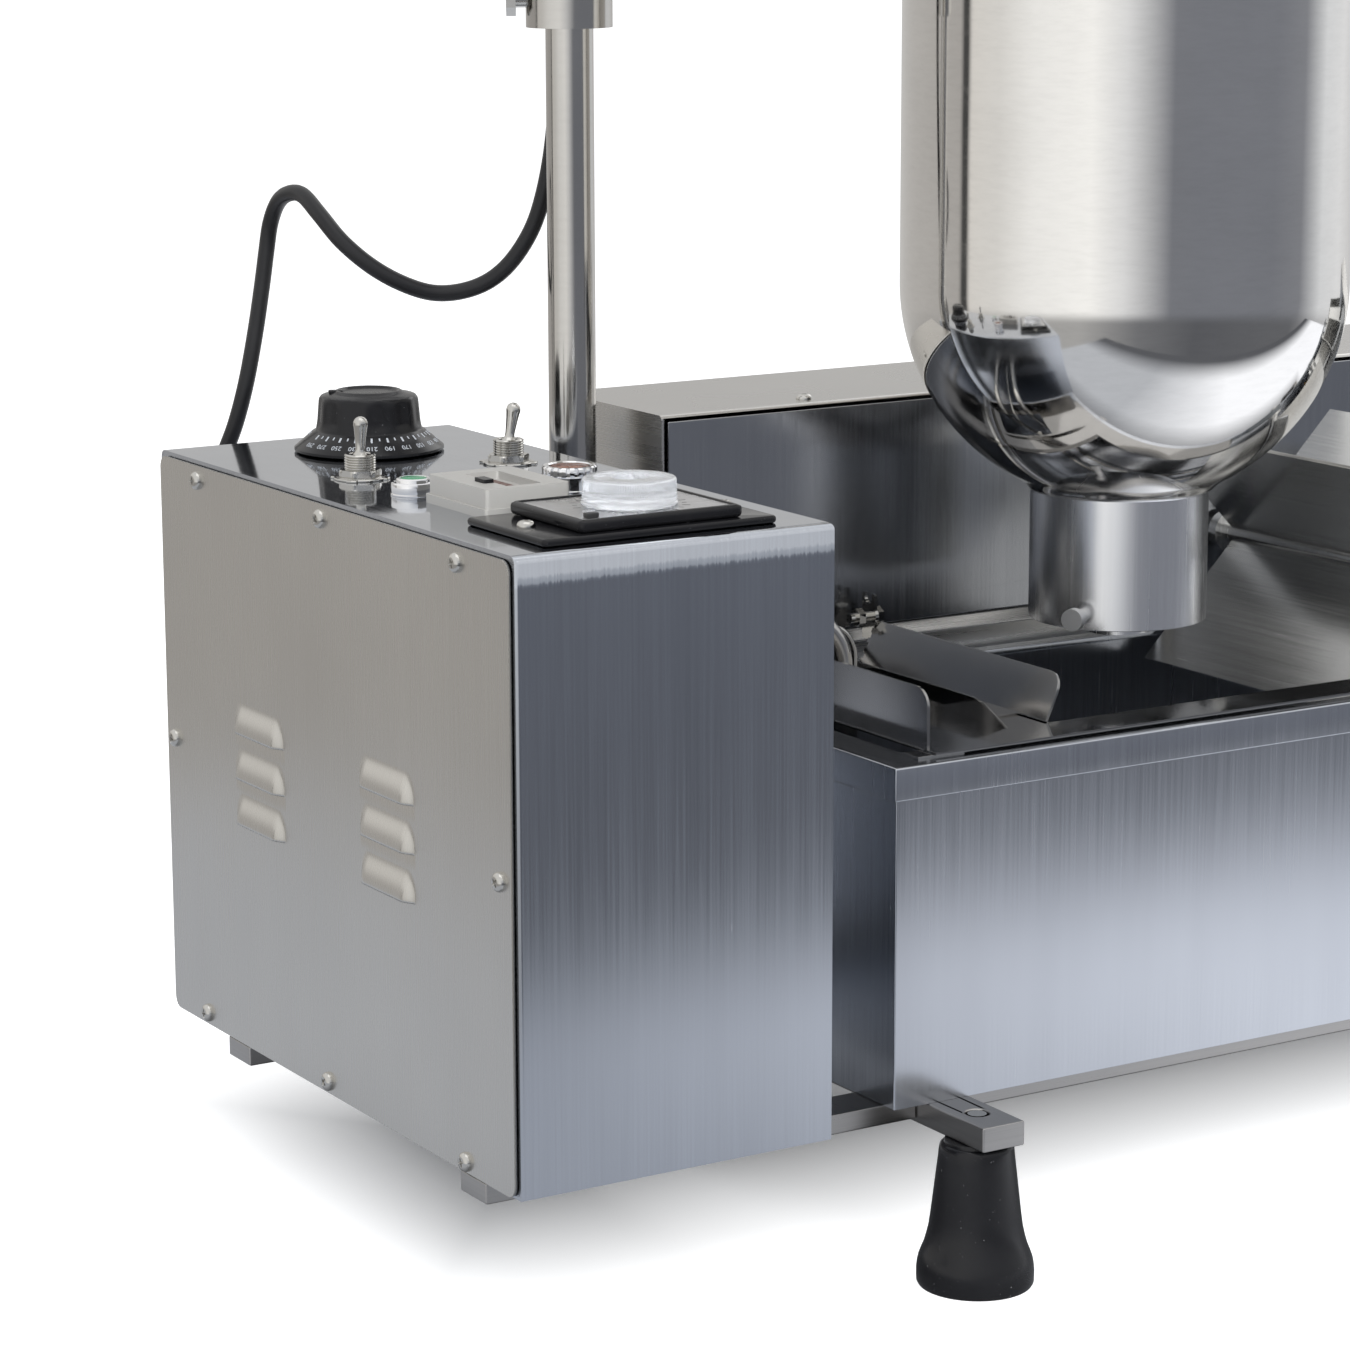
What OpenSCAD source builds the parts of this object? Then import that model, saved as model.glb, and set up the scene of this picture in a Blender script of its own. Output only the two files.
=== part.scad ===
// Automatic doughnut machine: control box, oil tank with paddle wheels, rear drive housing,
// mast with swinging head, batter hopper and plunger. Millimetres, +Z up, front faces -Y.

/* [Base frame] */
// Height of a rubber foot
foot_h = 58; // [40:1:80]
// Diameter of a foot at the floor
foot_base_d = 46.6; // [40:0.2:56]
// Diameter of a foot at its top
foot_top_d = 29; // [24:0.5:34]
// Width of the flat bars of the base
bar_w = 20; // [16:1:24]
// Thickness of a cross bar
cross_t = 10; // [8:1:12]
// Thickness of a long rail
rail_t = 8; // [6:1:10]
// Depth covered by the cross bars
cross_len = 336; // [330:1:350]
// Front end of the cross bars, measured from the front of the control box
cross_front = -21; // [-26:1:-16]

/* [Control box] */
// Width of the control box
box_w = 138; // [130:1:140]
// Depth of the control box
box_d = 300; // [290:1:305]
// Height of the control box
box_h = 240; // [230:1:250]
// Thickness of the box sheet
sheet = 1.2; // [1:0.1:2]
// Outward bulge of a louvre
louvre_out = 3.2; // [2:0.1:4]
// Diameter of the thermostat knob's skirt
knob_d = 62; // [50:1:66]
// Height of the thermostat knob
knob_h = 25; // [20:1:30]
// Length of a toggle lever above its bush
lever_len = 17; // [14:1:20]
// Diameter of the timer dial
dial_d = 36; // [30:1:40]

/* [Oil tank] */
// Length of the oil tank
tank_l = 815; // [800:1:830]
// Depth of the oil tank, front to back
tank_d = 175; // [165:1:180]
// Height of the oil tank
tank_h = 138; // [130:1:145]
// Gap between the control box and the tank
tank_gap = 39; // [37:1:42]
// Height of the folded band round the rim
rim_band = 13.5; // [10:0.5:16]
// Diameter of a heating tube
heater_d = 8; // [6:0.5:10]

/* [Drive housing] */
// Depth of the drive housing
drive_d = 90; // [80:1:95]
// Height of the housing's top above the tank's bottom
drive_top = 253; // [245:1:260]
// Height of the front panel's lower edge above the tank's bottom
panel_low = 153.5; // [150:0.5:156]
// Height of the wheel shafts above the tank's bottom
shaft_z = 178; // [176:1:182]
// Radius of the paddle wheels
paddle_r = 74; // [60:1:76]
// Radius of the ejector wheel
ejector_r = 58; // [50:1:60]
// Diameter of the wheel shafts
shaft_d = 10; // [8:1:12]

/* [Head] */
// Diameter of the mast
mast_d = 20; // [18:1:22]
// Outer diameter of the clamping hub
hub_d = 36; // [32:1:40]
// Height of the hub's lower end above the tank's bottom
hub_low = 412; // [400:1:430]
// Height of the arm's underside above the tank's bottom
arm_low = 508; // [500:1:520]
// Width of the arm
arm_w = 76; // [74:1:90]
// Height of the arm
arm_h = 69; // [66:1:80]
// Outer radius of the hopper
hopper_r = 93; // [88:1:95]
// Height of the centre of the hopper's round bottom above the tank's bottom
bowl_z = 307.5; // [300:0.5:312]
// Outer radius of the nozzle tube
nozzle_r = 37.4; // [34:0.2:39]
// Height of the nozzle's lower end above the tank's bottom
nozzle_z = 166; // [165:1:170]
// Radius of the crank
crank_r = 15; // [12:1:16]
// Diameter of the plunger rod
rod_d = 10; // [8:1:12]

/* [Hidden] */
$fn = 64;

// Heights: the deck is the plane on which the box and the tank rest
deck = foot_h + 2 + cross_t;
// Places along X and Y, from the front left corner of the control box
tank_x = box_w + tank_gap;
tank_y = 15;
tank_end = tank_x + tank_l;
drive_x = tank_x + 3;
drive_y = tank_y + tank_d + 2;
cross_x = [tank_x + 27.5, tank_end - 112];
rail_y = [34, 236];
foot_y = [-3, cross_front + cross_len - 18];
mast_x = 160;
mast_y = 232;
hopper_x = 350;
hopper_y = 102;
arm_turn = atan2(hopper_y - mast_y, hopper_x - mast_x);
arm_reach = norm([hopper_x - mast_x, hopper_y - mast_y]);
wheel_x = [for (i = [0:2]) hopper_x + 128 + i * (2 * paddle_r + 3)];
ejector_x = wheel_x[2] + paddle_r + ejector_r + 3;
pulley_r = 16;
lane_y = [drive_y + 10, drive_y + 22];
chute_out = 55;
// Middle of the whole machine, which the origin lies under
mid_x = (tank_end + chute_out - louvre_out) / 2;
mid_y = cross_front + cross_len / 2;
running = 0.05;

steel = [0.72, 0.72, 0.71];
bright = [0.86, 0.86, 0.85];
dark_steel = [0.25, 0.26, 0.28];
black = [0.05, 0.05, 0.055];
gap = 0.3;

// Puts a piece given from the box's front left corner and the floor into the part's frame
module placed() { translate([-mid_x, -mid_y, 0]) children(); }
// The same, with heights counted from the deck
module on_deck() { placed() translate([0, 0, deck]) children(); }
// The arm's own frame: along +X from the mast to the hopper, heights from the deck
module on_arm() { on_deck() translate([mast_x, mast_y, 0]) rotate([0, 0, arm_turn]) children(); }
module along_y(from, to, r) { translate([0, from, 0]) rotate([-90, 0, 0]) cylinder(h = to - from, r = r); }
module along_x(from, to, r) { translate([from, 0, 0]) rotate([0, 90, 0]) cylinder(h = to - from, r = r); }
module block(a, b) { translate(a) cube(b - a); }
// Flat outline with round corners
module round_rect(size, r) {
  union() {
    translate([r, 0]) square([size[0] - 2 * r, size[1]]);
    translate([0, r]) square([size[0], size[1] - 2 * r]);
    for (x = [r, size[0] - r], y = [r, size[1] - r]) translate([x, y]) circle(r);
  }
}
module rounded_plate(a, size, h, r) { translate(a) linear_extrude(h) round_rect(size, r); }
module hex_head(across, h) { cylinder(h = h, d = across / cos(30), $fn = 6); }
module pan_head(d, h) {
  difference() {
    rotate_extrude() intersection() {
      translate([0, h - d * 0.65]) circle(d * 0.65);
      square([d / 2, h]);
    }
    for (a = [0, 90]) rotate([0, 0, a]) translate([-d * 0.28, -0.5, h - 1]) cube([d * 0.56, 1, 2]);
  }
}

// ---- Base frame ----
module crossbar(x) {
  difference() {
    block([x - bar_w / 2, cross_front, deck - cross_t], [x + bar_w / 2, cross_front + cross_len, deck]);
    for (y = foot_y) translate([x, y, deck - cross_t - 1]) cylinder(h = cross_t + 2, r = 4.9);
  }
}
module crossbar_left() { color(steel) placed() crossbar(cross_x[0]); }
module crossbar_right() { color(steel) placed() crossbar(cross_x[1]); }
module rail(y) {
  cuts = [0, cross_x[0] - bar_w / 2, cross_x[0] + bar_w / 2, cross_x[1] - bar_w / 2,
          cross_x[1] + bar_w / 2, tank_end];
  for (i = [0:2])
    block([cuts[2 * i], y - bar_w / 2, deck - rail_t], [cuts[2 * i + 1], y + bar_w / 2, deck]);
}
module rail_front() { color(steel) placed() rail(rail_y[0]); }
module rail_rear() { color(steel) placed() rail(rail_y[1]); }
// A foot flares from a straight neck to its base in one arc
module foot() {
  flare = (foot_base_d - foot_top_d) / 2;
  arc_r = (flare * flare + foot_h * foot_h * 0.64) / (2 * flare);
  difference() {
    rotate_extrude() union() {
      difference() {
        square([foot_base_d / 2, foot_h]);
        translate([foot_top_d / 2 + arc_r, foot_h * 0.84]) circle(arc_r, $fn = 160);
        translate([foot_top_d / 2, foot_h * 0.84]) square([flare + 1, foot_h]);
        translate([foot_base_d / 2 - 1.2, -1]) square([3, 2.2]);
      }
      translate([0, foot_h - 1]) square([foot_top_d / 2 - 2, 3]);
      translate([foot_base_d / 2 - 1.2, 1.2]) circle(1.2);
      square([foot_base_d / 2 - 1.2, 1.2]);
    }
    translate([0, 0, foot_h - 20]) cylinder(h = 30, r = 3.85);
  }
}
module rubber_feet() { color(black) placed() for (x = cross_x, y = foot_y) translate([x, y, 0]) foot(); }
module foot_studs() {
  color(steel) placed() for (x = cross_x, y = foot_y) translate([x, y, 0]) {
    translate([0, 0, foot_h - 18]) cylinder(h = 18 + 2 + cross_t - 0.3, r = 3.8);
  }
}

// ---- Control box ----
knob_at = [74, 252];
toggle_at = [[36, 186], [105, 189]];
button_at = [36, 141];
lamp_at = [92, 117];
counter_a = [31, 74];
counter_size = [38, 48];
plate_a = [19, 9];
plate_size = [100, 59];
dial_at = [72, 38];
inset = 2;
cover_fix = [[39, 4.5], [153, 5.2], [265, 5.2], [10.3, 119], [290, 119], [40, 232], [150, 232.3], [262, 232]];
gland_at = [40, 176];
mains_at = [96, 40];

// Front, top, right side, back and floor are one folded shell; the left side is a loose cover
module box_shell() {
  color(steel) on_deck() difference() {
    intersection() {
      block([sheet + 0.4, 0, 0], [box_w, box_d, box_h]);
      translate([0, box_d, 0]) rotate([90, 0, 0]) linear_extrude(box_d)
        translate([-20, -20]) round_rect([box_w + 20, box_h + 20], 2.5);
      rotate([90, 0, 90]) linear_extrude(box_w) union() {
        round_rect([box_d, box_h], 3);
        square([box_d, 20]);
      }
    }
    intersection() {
      block([-1, sheet, sheet], [box_w - sheet, box_d - sheet, box_h - sheet]);
      rotate([90, 0, 90]) linear_extrude(box_w) translate([sheet, sheet])
        round_rect([box_d - 2 * sheet, box_h - 2 * sheet], 2);
    }
    translate([knob_at[0], knob_at[1], box_h - 5]) cylinder(h = 10, r = 5);
    for (t = toggle_at) translate([t[0], t[1], box_h - 5]) cylinder(h = 10, r = 6.1);
    translate([button_at[0], button_at[1], box_h - 5]) cylinder(h = 10, r = 8.1);
    translate([lamp_at[0], lamp_at[1], box_h - 5]) cylinder(h = 10, r = 9.1);
    block([counter_a[0] + 4, counter_a[1] + 4, box_h - 5],
          [counter_a[0] + counter_size[0] - 4, counter_a[1] + counter_size[1] - 4, box_h + 5]);
    block([dial_at[0] - 28, dial_at[1] - 22, box_h - 5], [dial_at[0] + 28, dial_at[1] + 22, box_h + 5]);
    for (s = timer_fix) translate([s[0], s[1], box_h - 5]) cylinder(h = 10, r = 2.1);
    translate([gland_at[0], 0, gland_at[1]]) along_y(box_d - 5, box_d + 5, 8.1);
    translate([mains_at[0], 0, mains_at[1]]) along_y(box_d - 5, box_d + 5, 10.1);
    for (y = heater_y) translate([0, y, heater_z]) along_x(box_w - 5, box_w + 5, heater_d / 2 + 0.1);
    translate([0, 121, 172]) along_x(box_w - 5, box_w + 5, 1.5);
  }
}
// Pressed louvre: a ramp that ends in a downward slot
louvre_w = 46;
louvre_h = 12.5;
louvre_y = [75.5, 186];
louvre_z = [95.5, 114.5, 133.5];
module louvre_ramp(grow) {
  rotate([90, 0, 180]) linear_extrude(louvre_w) polygon([
    [-0.1, louvre_h + grow], [louvre_out * 0.5 - 0.4 + grow, louvre_h * 0.66],
    [louvre_out - 0.5 + grow, louvre_h * 0.36], [louvre_out - 0.2 + grow, 1.2],
    [louvre_out - 0.2 + grow, -grow], [-2, -grow], [-2, louvre_h + grow]]);
}
module box_side_cover() {
  color(steel) on_deck() difference() {
    union() {
      rotate([90, 0, 90]) linear_extrude(sheet) translate([inset, 0.3])
        round_rect([box_d - 2 * inset, box_h - inset - 0.3], 5);
      for (y = louvre_y, z = louvre_z) intersection() {
        translate([0, y, z]) louvre_ramp(0.2);
        block([-louvre_out, y, z], [sheet, y + louvre_w, z + louvre_h]);
      }
    }
    for (y = louvre_y, z = louvre_z) intersection() {
      translate([sheet - 0.2, y, z]) louvre_ramp(-0.8);
      block([-louvre_out + 1, y + 1.2, z - 1], [2, y + louvre_w - 1.2, z + louvre_h - 1.5]);
    }
    for (y = louvre_y, z = louvre_z)
      block([-louvre_out + 0.9, y + 1.2, z - 1], [-0.1, y + louvre_w - 1.2, z + 1.2]);
    for (f = cover_fix) translate([0, f[0], f[1]]) along_x(-1, 5, 2);
  }
}
module cover_screws() {
  color(bright) on_deck() for (f = cover_fix) translate([0, f[0], f[1]]) {
    rotate([0, -90, 0]) pan_head(7.6, 2.4);
    along_x(0, 8, 1.95);
  }
}
module thermostat_body() {
  color(dark_steel) on_deck() translate([knob_at[0], knob_at[1], box_h]) {
    translate([-17, -22, -sheet - 36]) cube([34, 44, 36]);
    translate([0, 0, -sheet]) cylinder(h = 14, r = 3);
  }
}
module thermostat_knob() {
  color(black) on_deck() translate([knob_at[0], knob_at[1], box_h + gap]) difference() {
    union() {
      rotate_extrude() polygon([[0, 0], [knob_d / 2, 0], [knob_d / 2, 1.6], [knob_d / 2 - 8, 8.5],
                                [21.4, 10], [21, 22.5], [19.5, 24], [0, 24]]);
      translate([0, 0, 24]) cylinder(h = knob_h - 24, r = 13);
    }
    translate([0, 0, -1]) cylinder(h = 14.5, r = 3 + running);
    for (a = [0:30:330]) rotate([0, 0, a]) translate([24.4, 0, 11]) cylinder(h = 20, r = 4, $fn = 24);
  }
}
module toggle_switches() {
  color(bright) on_deck() for (t = toggle_at) translate([t[0], t[1], box_h]) difference() {
    union() {
      block([-7, -14, -sheet - 22], [7, 14, -sheet]);
      translate([0, 0, -sheet]) cylinder(h = sheet + 10, r = 6);
      cylinder(h = 0.9, r = 12);
      translate([0, 0, 0.9]) rotate([0, 0, 15]) hex_head(15, 3);
      translate([0, 0, 5.4]) cylinder(h = 1.4, r = 6.9);
    }
    translate([0, 0, 3]) cylinder(h = 12, r = 3.9);
  }
}
// Ball in the bush with a lever that thickens towards its tip
module toggle_lever(t, lean_x, lean_y) {
  color(bright) on_deck() translate([t[0], t[1], box_h + 8]) rotate([lean_x, lean_y, 0]) {
    sphere(r = 3.2);
    cylinder(h = lever_len - 3, r1 = 1.9, r2 = 2.9, $fn = 32);
    translate([0, 0, lever_len - 3]) sphere(r = 2.9);
  }
  color(bright) on_deck() translate([t[0], t[1], box_h + 8]) along_y(-3.7, 3.7, 1);
}
module toggle_lever_left() { toggle_lever(toggle_at[0], 0, 2); }
module toggle_lever_right() { toggle_lever(toggle_at[1], -3, 12); }
module button_bezel() {
  color(bright) on_deck() translate([button_at[0], button_at[1], box_h]) difference() {
    union() {
      cylinder(h = 1.5, r = 9);
      cylinder(h = 5, r = 8.6);
      translate([0, 0, -20]) cylinder(h = 20, r = 8);
    }
    translate([0, 0, -2]) cylinder(h = 12, r = 7);
  }
}
module button_cap() {
  color([0.1, 0.5, 0.3]) on_deck() translate([button_at[0], button_at[1], box_h]) union() {
    translate([0, 0, 0.5]) cylinder(h = 5.5, r = 6.7);
    translate([0, 0, 6]) cylinder(h = 0.8, r1 = 6.7, r2 = 6);
  }
}
module lamp_bezel() {
  color(bright) on_deck() translate([lamp_at[0], lamp_at[1], box_h]) difference() {
    union() {
      translate([0, 0, -24]) cylinder(h = 30, r = 9);
      translate([0, 0, 6]) cylinder(h = 4, r = 10.8);
    }
    translate([0, 0, 2]) cylinder(h = 12, r = 8);
    for (a = [0:18:342]) rotate([0, 0, a]) translate([11, 0, 5]) cylinder(h = 3.5, r = 0.8, $fn = 16);
  }
}
module lamp_lens() {
  color([0.35, 0.17, 0.06]) on_deck() translate([lamp_at[0], lamp_at[1], box_h + 2]) union() {
    cylinder(h = 6, r = 7.9);
    translate([0, 0, 6]) cylinder(h = 1.6, r1 = 7.9, r2 = 5);
  }
}
reset_a = [counter_a[0] + 7.4, counter_a[1] + 14.4];
reset_size = [4.8, 8.6];
module counter_case() {
  window_a = [counter_a[0] + 12, counter_a[1] + 5];
  color([0.72, 0.69, 0.62]) on_deck() translate([0, 0, box_h]) difference() {
    union() {
      rounded_plate([counter_a[0], counter_a[1], 0], counter_size, 3.5, 1.2);
      rounded_plate([counter_a[0] + 1, counter_a[1] + 1, 0], counter_size - [2, 2], 11, 1.5);
      rounded_plate([counter_a[0] + 4.5, counter_a[1] + 4.5, -40], counter_size - [9, 9], 41, 1);
    }
    rounded_plate([window_a[0], window_a[1], 8], [15, 34], 5, 1);
    rounded_plate([reset_a[0], reset_a[1], 6], reset_size, 8, 0.8);
  }
}
module counter_reset() {
  color(black) on_deck() translate([0, 0, box_h])
    rounded_plate([reset_a[0] + gap, reset_a[1] + gap, 8.4], reset_size - [2 * gap, 2 * gap], 4, 0.6);
}
module timer_plate() {
  color(black) on_deck() translate([0, 0, box_h]) difference() {
    union() {
      rounded_plate([plate_a[0], plate_a[1], 0], plate_size, 2.2, 2);
      rounded_plate([plate_a[0] + 0.8, plate_a[1] + 0.8, 0], plate_size - [1.6, 1.6], 3, 1.6);
    }
    block([dial_at[0] - 27, dial_at[1] - 21, -1], [dial_at[0] + 27, dial_at[1] + 21, 5]);
    for (s = timer_fix) translate([s[0], s[1], -1]) cylinder(h = 6, r = 2.1);
  }
}
timer_fix = [[dial_at[0] - 44, dial_at[1]], [dial_at[0] + 41, dial_at[1]]];
module timer_frame() {
  a = [dial_at[0] - 36, dial_at[1] - 26];
  color(black) on_deck() translate([0, 0, box_h]) difference() {
    union() {
      rounded_plate([a[0], a[1], 3], [70, 54], 3.6, 2.5);
      rounded_plate([a[0] + 1, a[1] + 1, 3], [68, 52], 5, 2);
      block([dial_at[0] - 26.5, dial_at[1] - 20.5, -45], [dial_at[0] + 26.5, dial_at[1] + 20.5, 4]);
    }
    rounded_plate([a[0] + 5, a[1] + 4, 7.2], [60, 46], 3, 1.5);
    translate([dial_at[0], dial_at[1], 0]) cylinder(h = 20, r = 3 + running);
  }
}
module timer_dial() {
  color([0.9, 0.92, 0.93]) on_deck() translate([dial_at[0], dial_at[1], box_h + 7.2 + gap]) difference() {
    union() {
      cylinder(h = 9.5, r = dial_d / 2);
      translate([0, 0, 9.5]) cylinder(h = 1, r1 = dial_d / 2, r2 = dial_d / 2 - 1);
      translate([0, 0, -6]) cylinder(h = 7, r = 3);
    }
    translate([0, 0, 8]) cylinder(h = 4, r = 6);
    for (a = [0:15:345]) rotate([0, 0, a]) translate([dial_d / 2 + 0.4, 0, 1.5])
      cylinder(h = 12, r = 0.9, $fn = 16);
  }
}
module timer_screws() {
  color(bright) on_deck() for (s = timer_fix) translate([s[0], s[1], box_h]) {
    translate([0, 0, 3]) pan_head(7, 2.2);
    translate([0, 0, -6]) cylinder(h = 9, r = 2);
  }
}
module gland(r, len) {
  cylinder(h = 3, r = r + 3);
  translate([0, 0, 3]) hex_head(2 * r + 3, len - 7);
  translate([0, 0, len - 4]) cylinder(h = 4, r1 = r + 1, r2 = r - 1.5);
}
module cable_gland() {
  color(black) on_deck() translate([gland_at[0], box_d, gland_at[1]]) rotate([-90, 0, 0]) difference() {
    union() {
      translate([0, 0, -12]) cylinder(h = 12, r = 8);
      gland(7, 15);
    }
    translate([0, 0, -13]) cylinder(h = 40, r = lead_r + 0.2);
  }
}
module mains_gland() {
  color(black) on_deck() translate([mains_at[0], box_d, mains_at[1]]) rotate([-90, 0, 0]) difference() {
    union() {
      translate([0, 0, -12]) cylinder(h = 12, r = 10);
      gland(9, 15);
    }
    translate([0, 0, -13]) cylinder(h = 40, r = 5);
  }
}
module contactor() {
  color([0.85, 0.85, 0.82]) on_deck() translate([0, 0, sheet]) {
    block([40, 120, 0], [86, 196, 8]);
    block([42, 126, 8], [84, 190, 70]);
    for (i = [0:2]) translate([50 + 13 * i, 132, 70]) cylinder(h = 3, r = 3);
    block([20, 220, 0], [110, 240, 22]);
  }
}

// ---- Oil tank ----
tank_sheet = 1.2;
rim_in = 2;
module oil_tank() {
  color(steel) on_deck() translate([tank_x, tank_y, 0]) difference() {
    union() {
      block([1, 1, 0], [tank_l - 1, tank_d - 1, tank_h - 1]);
      difference() {
        block([0, 0, tank_h - rim_band], [tank_l, tank_d, tank_h]);
        for (s = [0, 1]) translate([0, s * tank_d, tank_h]) rotate([45, 0, 0])
          cube([3 * tank_l, 1.2, 1.2], center = true);
      }
    }
    block([1 + tank_sheet, 1 + tank_sheet, tank_sheet],
          [tank_l - 1 - tank_sheet, tank_d - 1 - tank_sheet, tank_h - 3]);
    block([18, 9, 10], [tank_l - 18, tank_d - 9, tank_h + 1]);
    translate([0, tank_d / 2, 16]) along_x(tank_l - 5, tank_l + 5, 8.1);
  }
}
// Drop-in sheet: a polished flange along the front rim and an upright wall at its left end
flange_x = 200;
flange_y = 21;
flange_end = 440;
wall_top = 164.5;
guide_z = tank_h + 1;
module guide_sheet() {
  color(dark_steel) on_deck() difference() {
    union() {
      block([flange_x, flange_y, guide_z], [flange_end, flange_y + 21, guide_z + sheet]);
      block([flange_x, flange_y + 20, guide_z], [lean_x + 2, 188, guide_z + sheet]);
      translate([flange_x, 0, 0]) rotate([90, 0, 90]) linear_extrude(sheet) union() {
        translate([27, guide_z]) square([150, wall_top - guide_z - 8]);
        translate([35, guide_z]) square([142, wall_top - guide_z]);
        translate([35, wall_top - 8]) circle(8);
      }
      block([flange_x - 7, 23, tank_h], [flange_x + 15, 33, guide_z]);
      block([flange_end - 16, 22, tank_h], [flange_end, 33, guide_z]);
      block([flange_x + 2, 182, tank_h], [flange_x + 20, 188, guide_z]);
    }
    block([flange_x + 5, 92, guide_z - 1], [trough_x - 5, 170, guide_z + 3]);
  }
}
// Two upright walls that leave a slanting gap; the right one leans outwards
trough_x = 249;
lean_x = 268.7;
lean = atan(7.1 / 15.7);
lean_h = 18.5;
module guide_trough() {
  base = guide_z + sheet;
  color(dark_steel) on_deck() {
    translate([trough_x, 0, 0]) rotate([90, 0, 90]) linear_extrude(sheet)
      polygon([[42.4, base], [58, 147], [64, 148.8], [170, 148.8], [170, base]]);
    block([trough_x, 60, base], [lean_x + 1, 165, base + 0.8]);
    translate([lean_x, 0, base + 0.55]) rotate([0, lean, 0]) rotate([90, 0, 90])
      linear_extrude(sheet) difference() {
      union() {
        translate([42.4, 0]) square([134, lean_h / cos(lean) - 8]);
        translate([50, 0]) square([126, lean_h / cos(lean)]);
        translate([50.4, lean_h / cos(lean) - 8]) circle(8);
      }
      for (i = [0:3]) translate([175, 3 + i * 4.6]) square([3, 2.4]);
    }
  }
}
// Fixing at the rear end of the leaning wall: a forked clip with a hex bolt
module guide_bolt() {
  color(bright) on_deck() translate([277, 181, 160]) {
    rotate([90, 0, 90]) linear_extrude(1.6) difference() {
      union() {
        translate([-4, -10]) square([9, 12]);
        circle(5.5);
        translate([-4, 3]) square([9, 7]);
      }
      translate([0.5, 8.4]) circle(2.8);
    }
    translate([-10, 0, 0]) rotate([0, 90, 0]) cylinder(h = 16, r = 2);
    translate([-7, 0, 0]) rotate([0, 90, 0]) hex_head(7, 3.2);
    translate([2.5, 0, 0]) rotate([0, 90, 0]) hex_head(7, 3.2);
  }
}
// Two heater legs leave the box, turn down into the oil and run along the tank's floor
heater_y = [104, 138];
heater_z = 182;
heater_turn = 24;
heater_drop = [212, 218];
heater_low = 22;
module heating_element() {
  far = tank_end - 70;
  y_mid = (heater_y[0] + heater_y[1]) / 2;
  bend = (heater_y[1] - heater_y[0]) / 2;
  color(bright) on_deck() {
    for (i = [0, 1]) {
      translate([0, heater_y[i], heater_z]) along_x(box_w - 14, heater_drop[i] - heater_turn, heater_d / 2);
      translate([heater_drop[i] - heater_turn, heater_y[i], heater_z - heater_turn]) rotate([90, 0, 0])
        rotate_extrude(angle = 90) translate([heater_turn, 0]) circle(heater_d / 2);
      translate([heater_drop[i], heater_y[i], heater_low + heater_turn])
        cylinder(h = heater_z - heater_low - 2 * heater_turn, r = heater_d / 2);
      translate([heater_drop[i] + heater_turn, heater_y[i], heater_low + heater_turn]) rotate([-90, 0, 0])
        rotate([0, 0, 90]) rotate_extrude(angle = 90) translate([heater_turn, 0]) circle(heater_d / 2);
      translate([0, heater_y[i], heater_low]) along_x(heater_drop[i] + heater_turn, far, heater_d / 2);
    }
    translate([far, y_mid, heater_low]) rotate([0, 0, -90])
      rotate_extrude(angle = 180) translate([bend, 0]) circle(heater_d / 2);
  }
}
// Sensor bulb on its thin tube, clipped beside the heater
module thermostat_bulb() {
  bulb_x = 229;
  bulb_y = 121;
  tube_z = 172;
  color(bright) on_deck() translate([0, bulb_y, 0]) {
    translate([0, 0, tube_z]) along_x(box_w - 10, bulb_x - 14, 1.2);
    translate([bulb_x - 14, 0, tube_z - 14]) rotate([90, 0, 0]) rotate_extrude(angle = 90)
      translate([14, 0]) circle(1.2, $fn = 24);
    translate([bulb_x, 0, 110]) cylinder(h = tube_z - 124, r = 1.2);
    translate([bulb_x, 0, 36]) cylinder(h = 74, r = 3.5);
  }
}
// Drain: a ball valve on the right end with a quarter-turn handle
drain_z = 16;
module drain_valve() {
  y = tank_y + tank_d / 2;
  color([0.72, 0.6, 0.3]) on_deck() difference() {
    union() {
      translate([0, y, drain_z]) along_x(tank_end - 1 - tank_sheet, tank_end + 44, 8);
      translate([tank_end + 6, y, drain_z]) rotate([0, 90, 0]) hex_head(22, 28);
      translate([tank_end + 20, y, drain_z]) cylinder(h = 17, r = 4);
    }
    translate([0, y, drain_z]) along_x(tank_end - 5, tank_end + 50, 5.5);
  }
}
module drain_handle() {
  y = tank_y + tank_d / 2;
  color([0.6, 0.1, 0.08]) on_deck() translate([tank_end + 20, y, drain_z + 17.3]) difference() {
    union() {
      cylinder(h = 3, r = 8);
      block([-6, -70, 0], [6, 0, 3]);
    }
    translate([0, 0, -1]) cylinder(h = 1.5, r = 4.3);
  }
}
// Sloping chute past the right end of the tank
module discharge_chute() {
  color(steel) on_deck() translate([tank_end - 2, tank_y + 20, 0]) {
    rotate([90, 0, 0]) translate([0, 0, -135]) linear_extrude(135) polygon([
      [-14, tank_h], [4, tank_h], [chute_out + 2, 112], [chute_out + 2, 113.4],
      [4, tank_h + 1.4], [-14, tank_h + 1.4]]);
    for (y = [0, 135 - sheet]) translate([0, y + sheet, 0]) rotate([90, 0, 0]) linear_extrude(sheet) polygon([
      [4, tank_h + 1.3], [4, tank_h + 16], [chute_out + 2, 128], [chute_out + 2, 113.3]]);
  }
}

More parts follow.
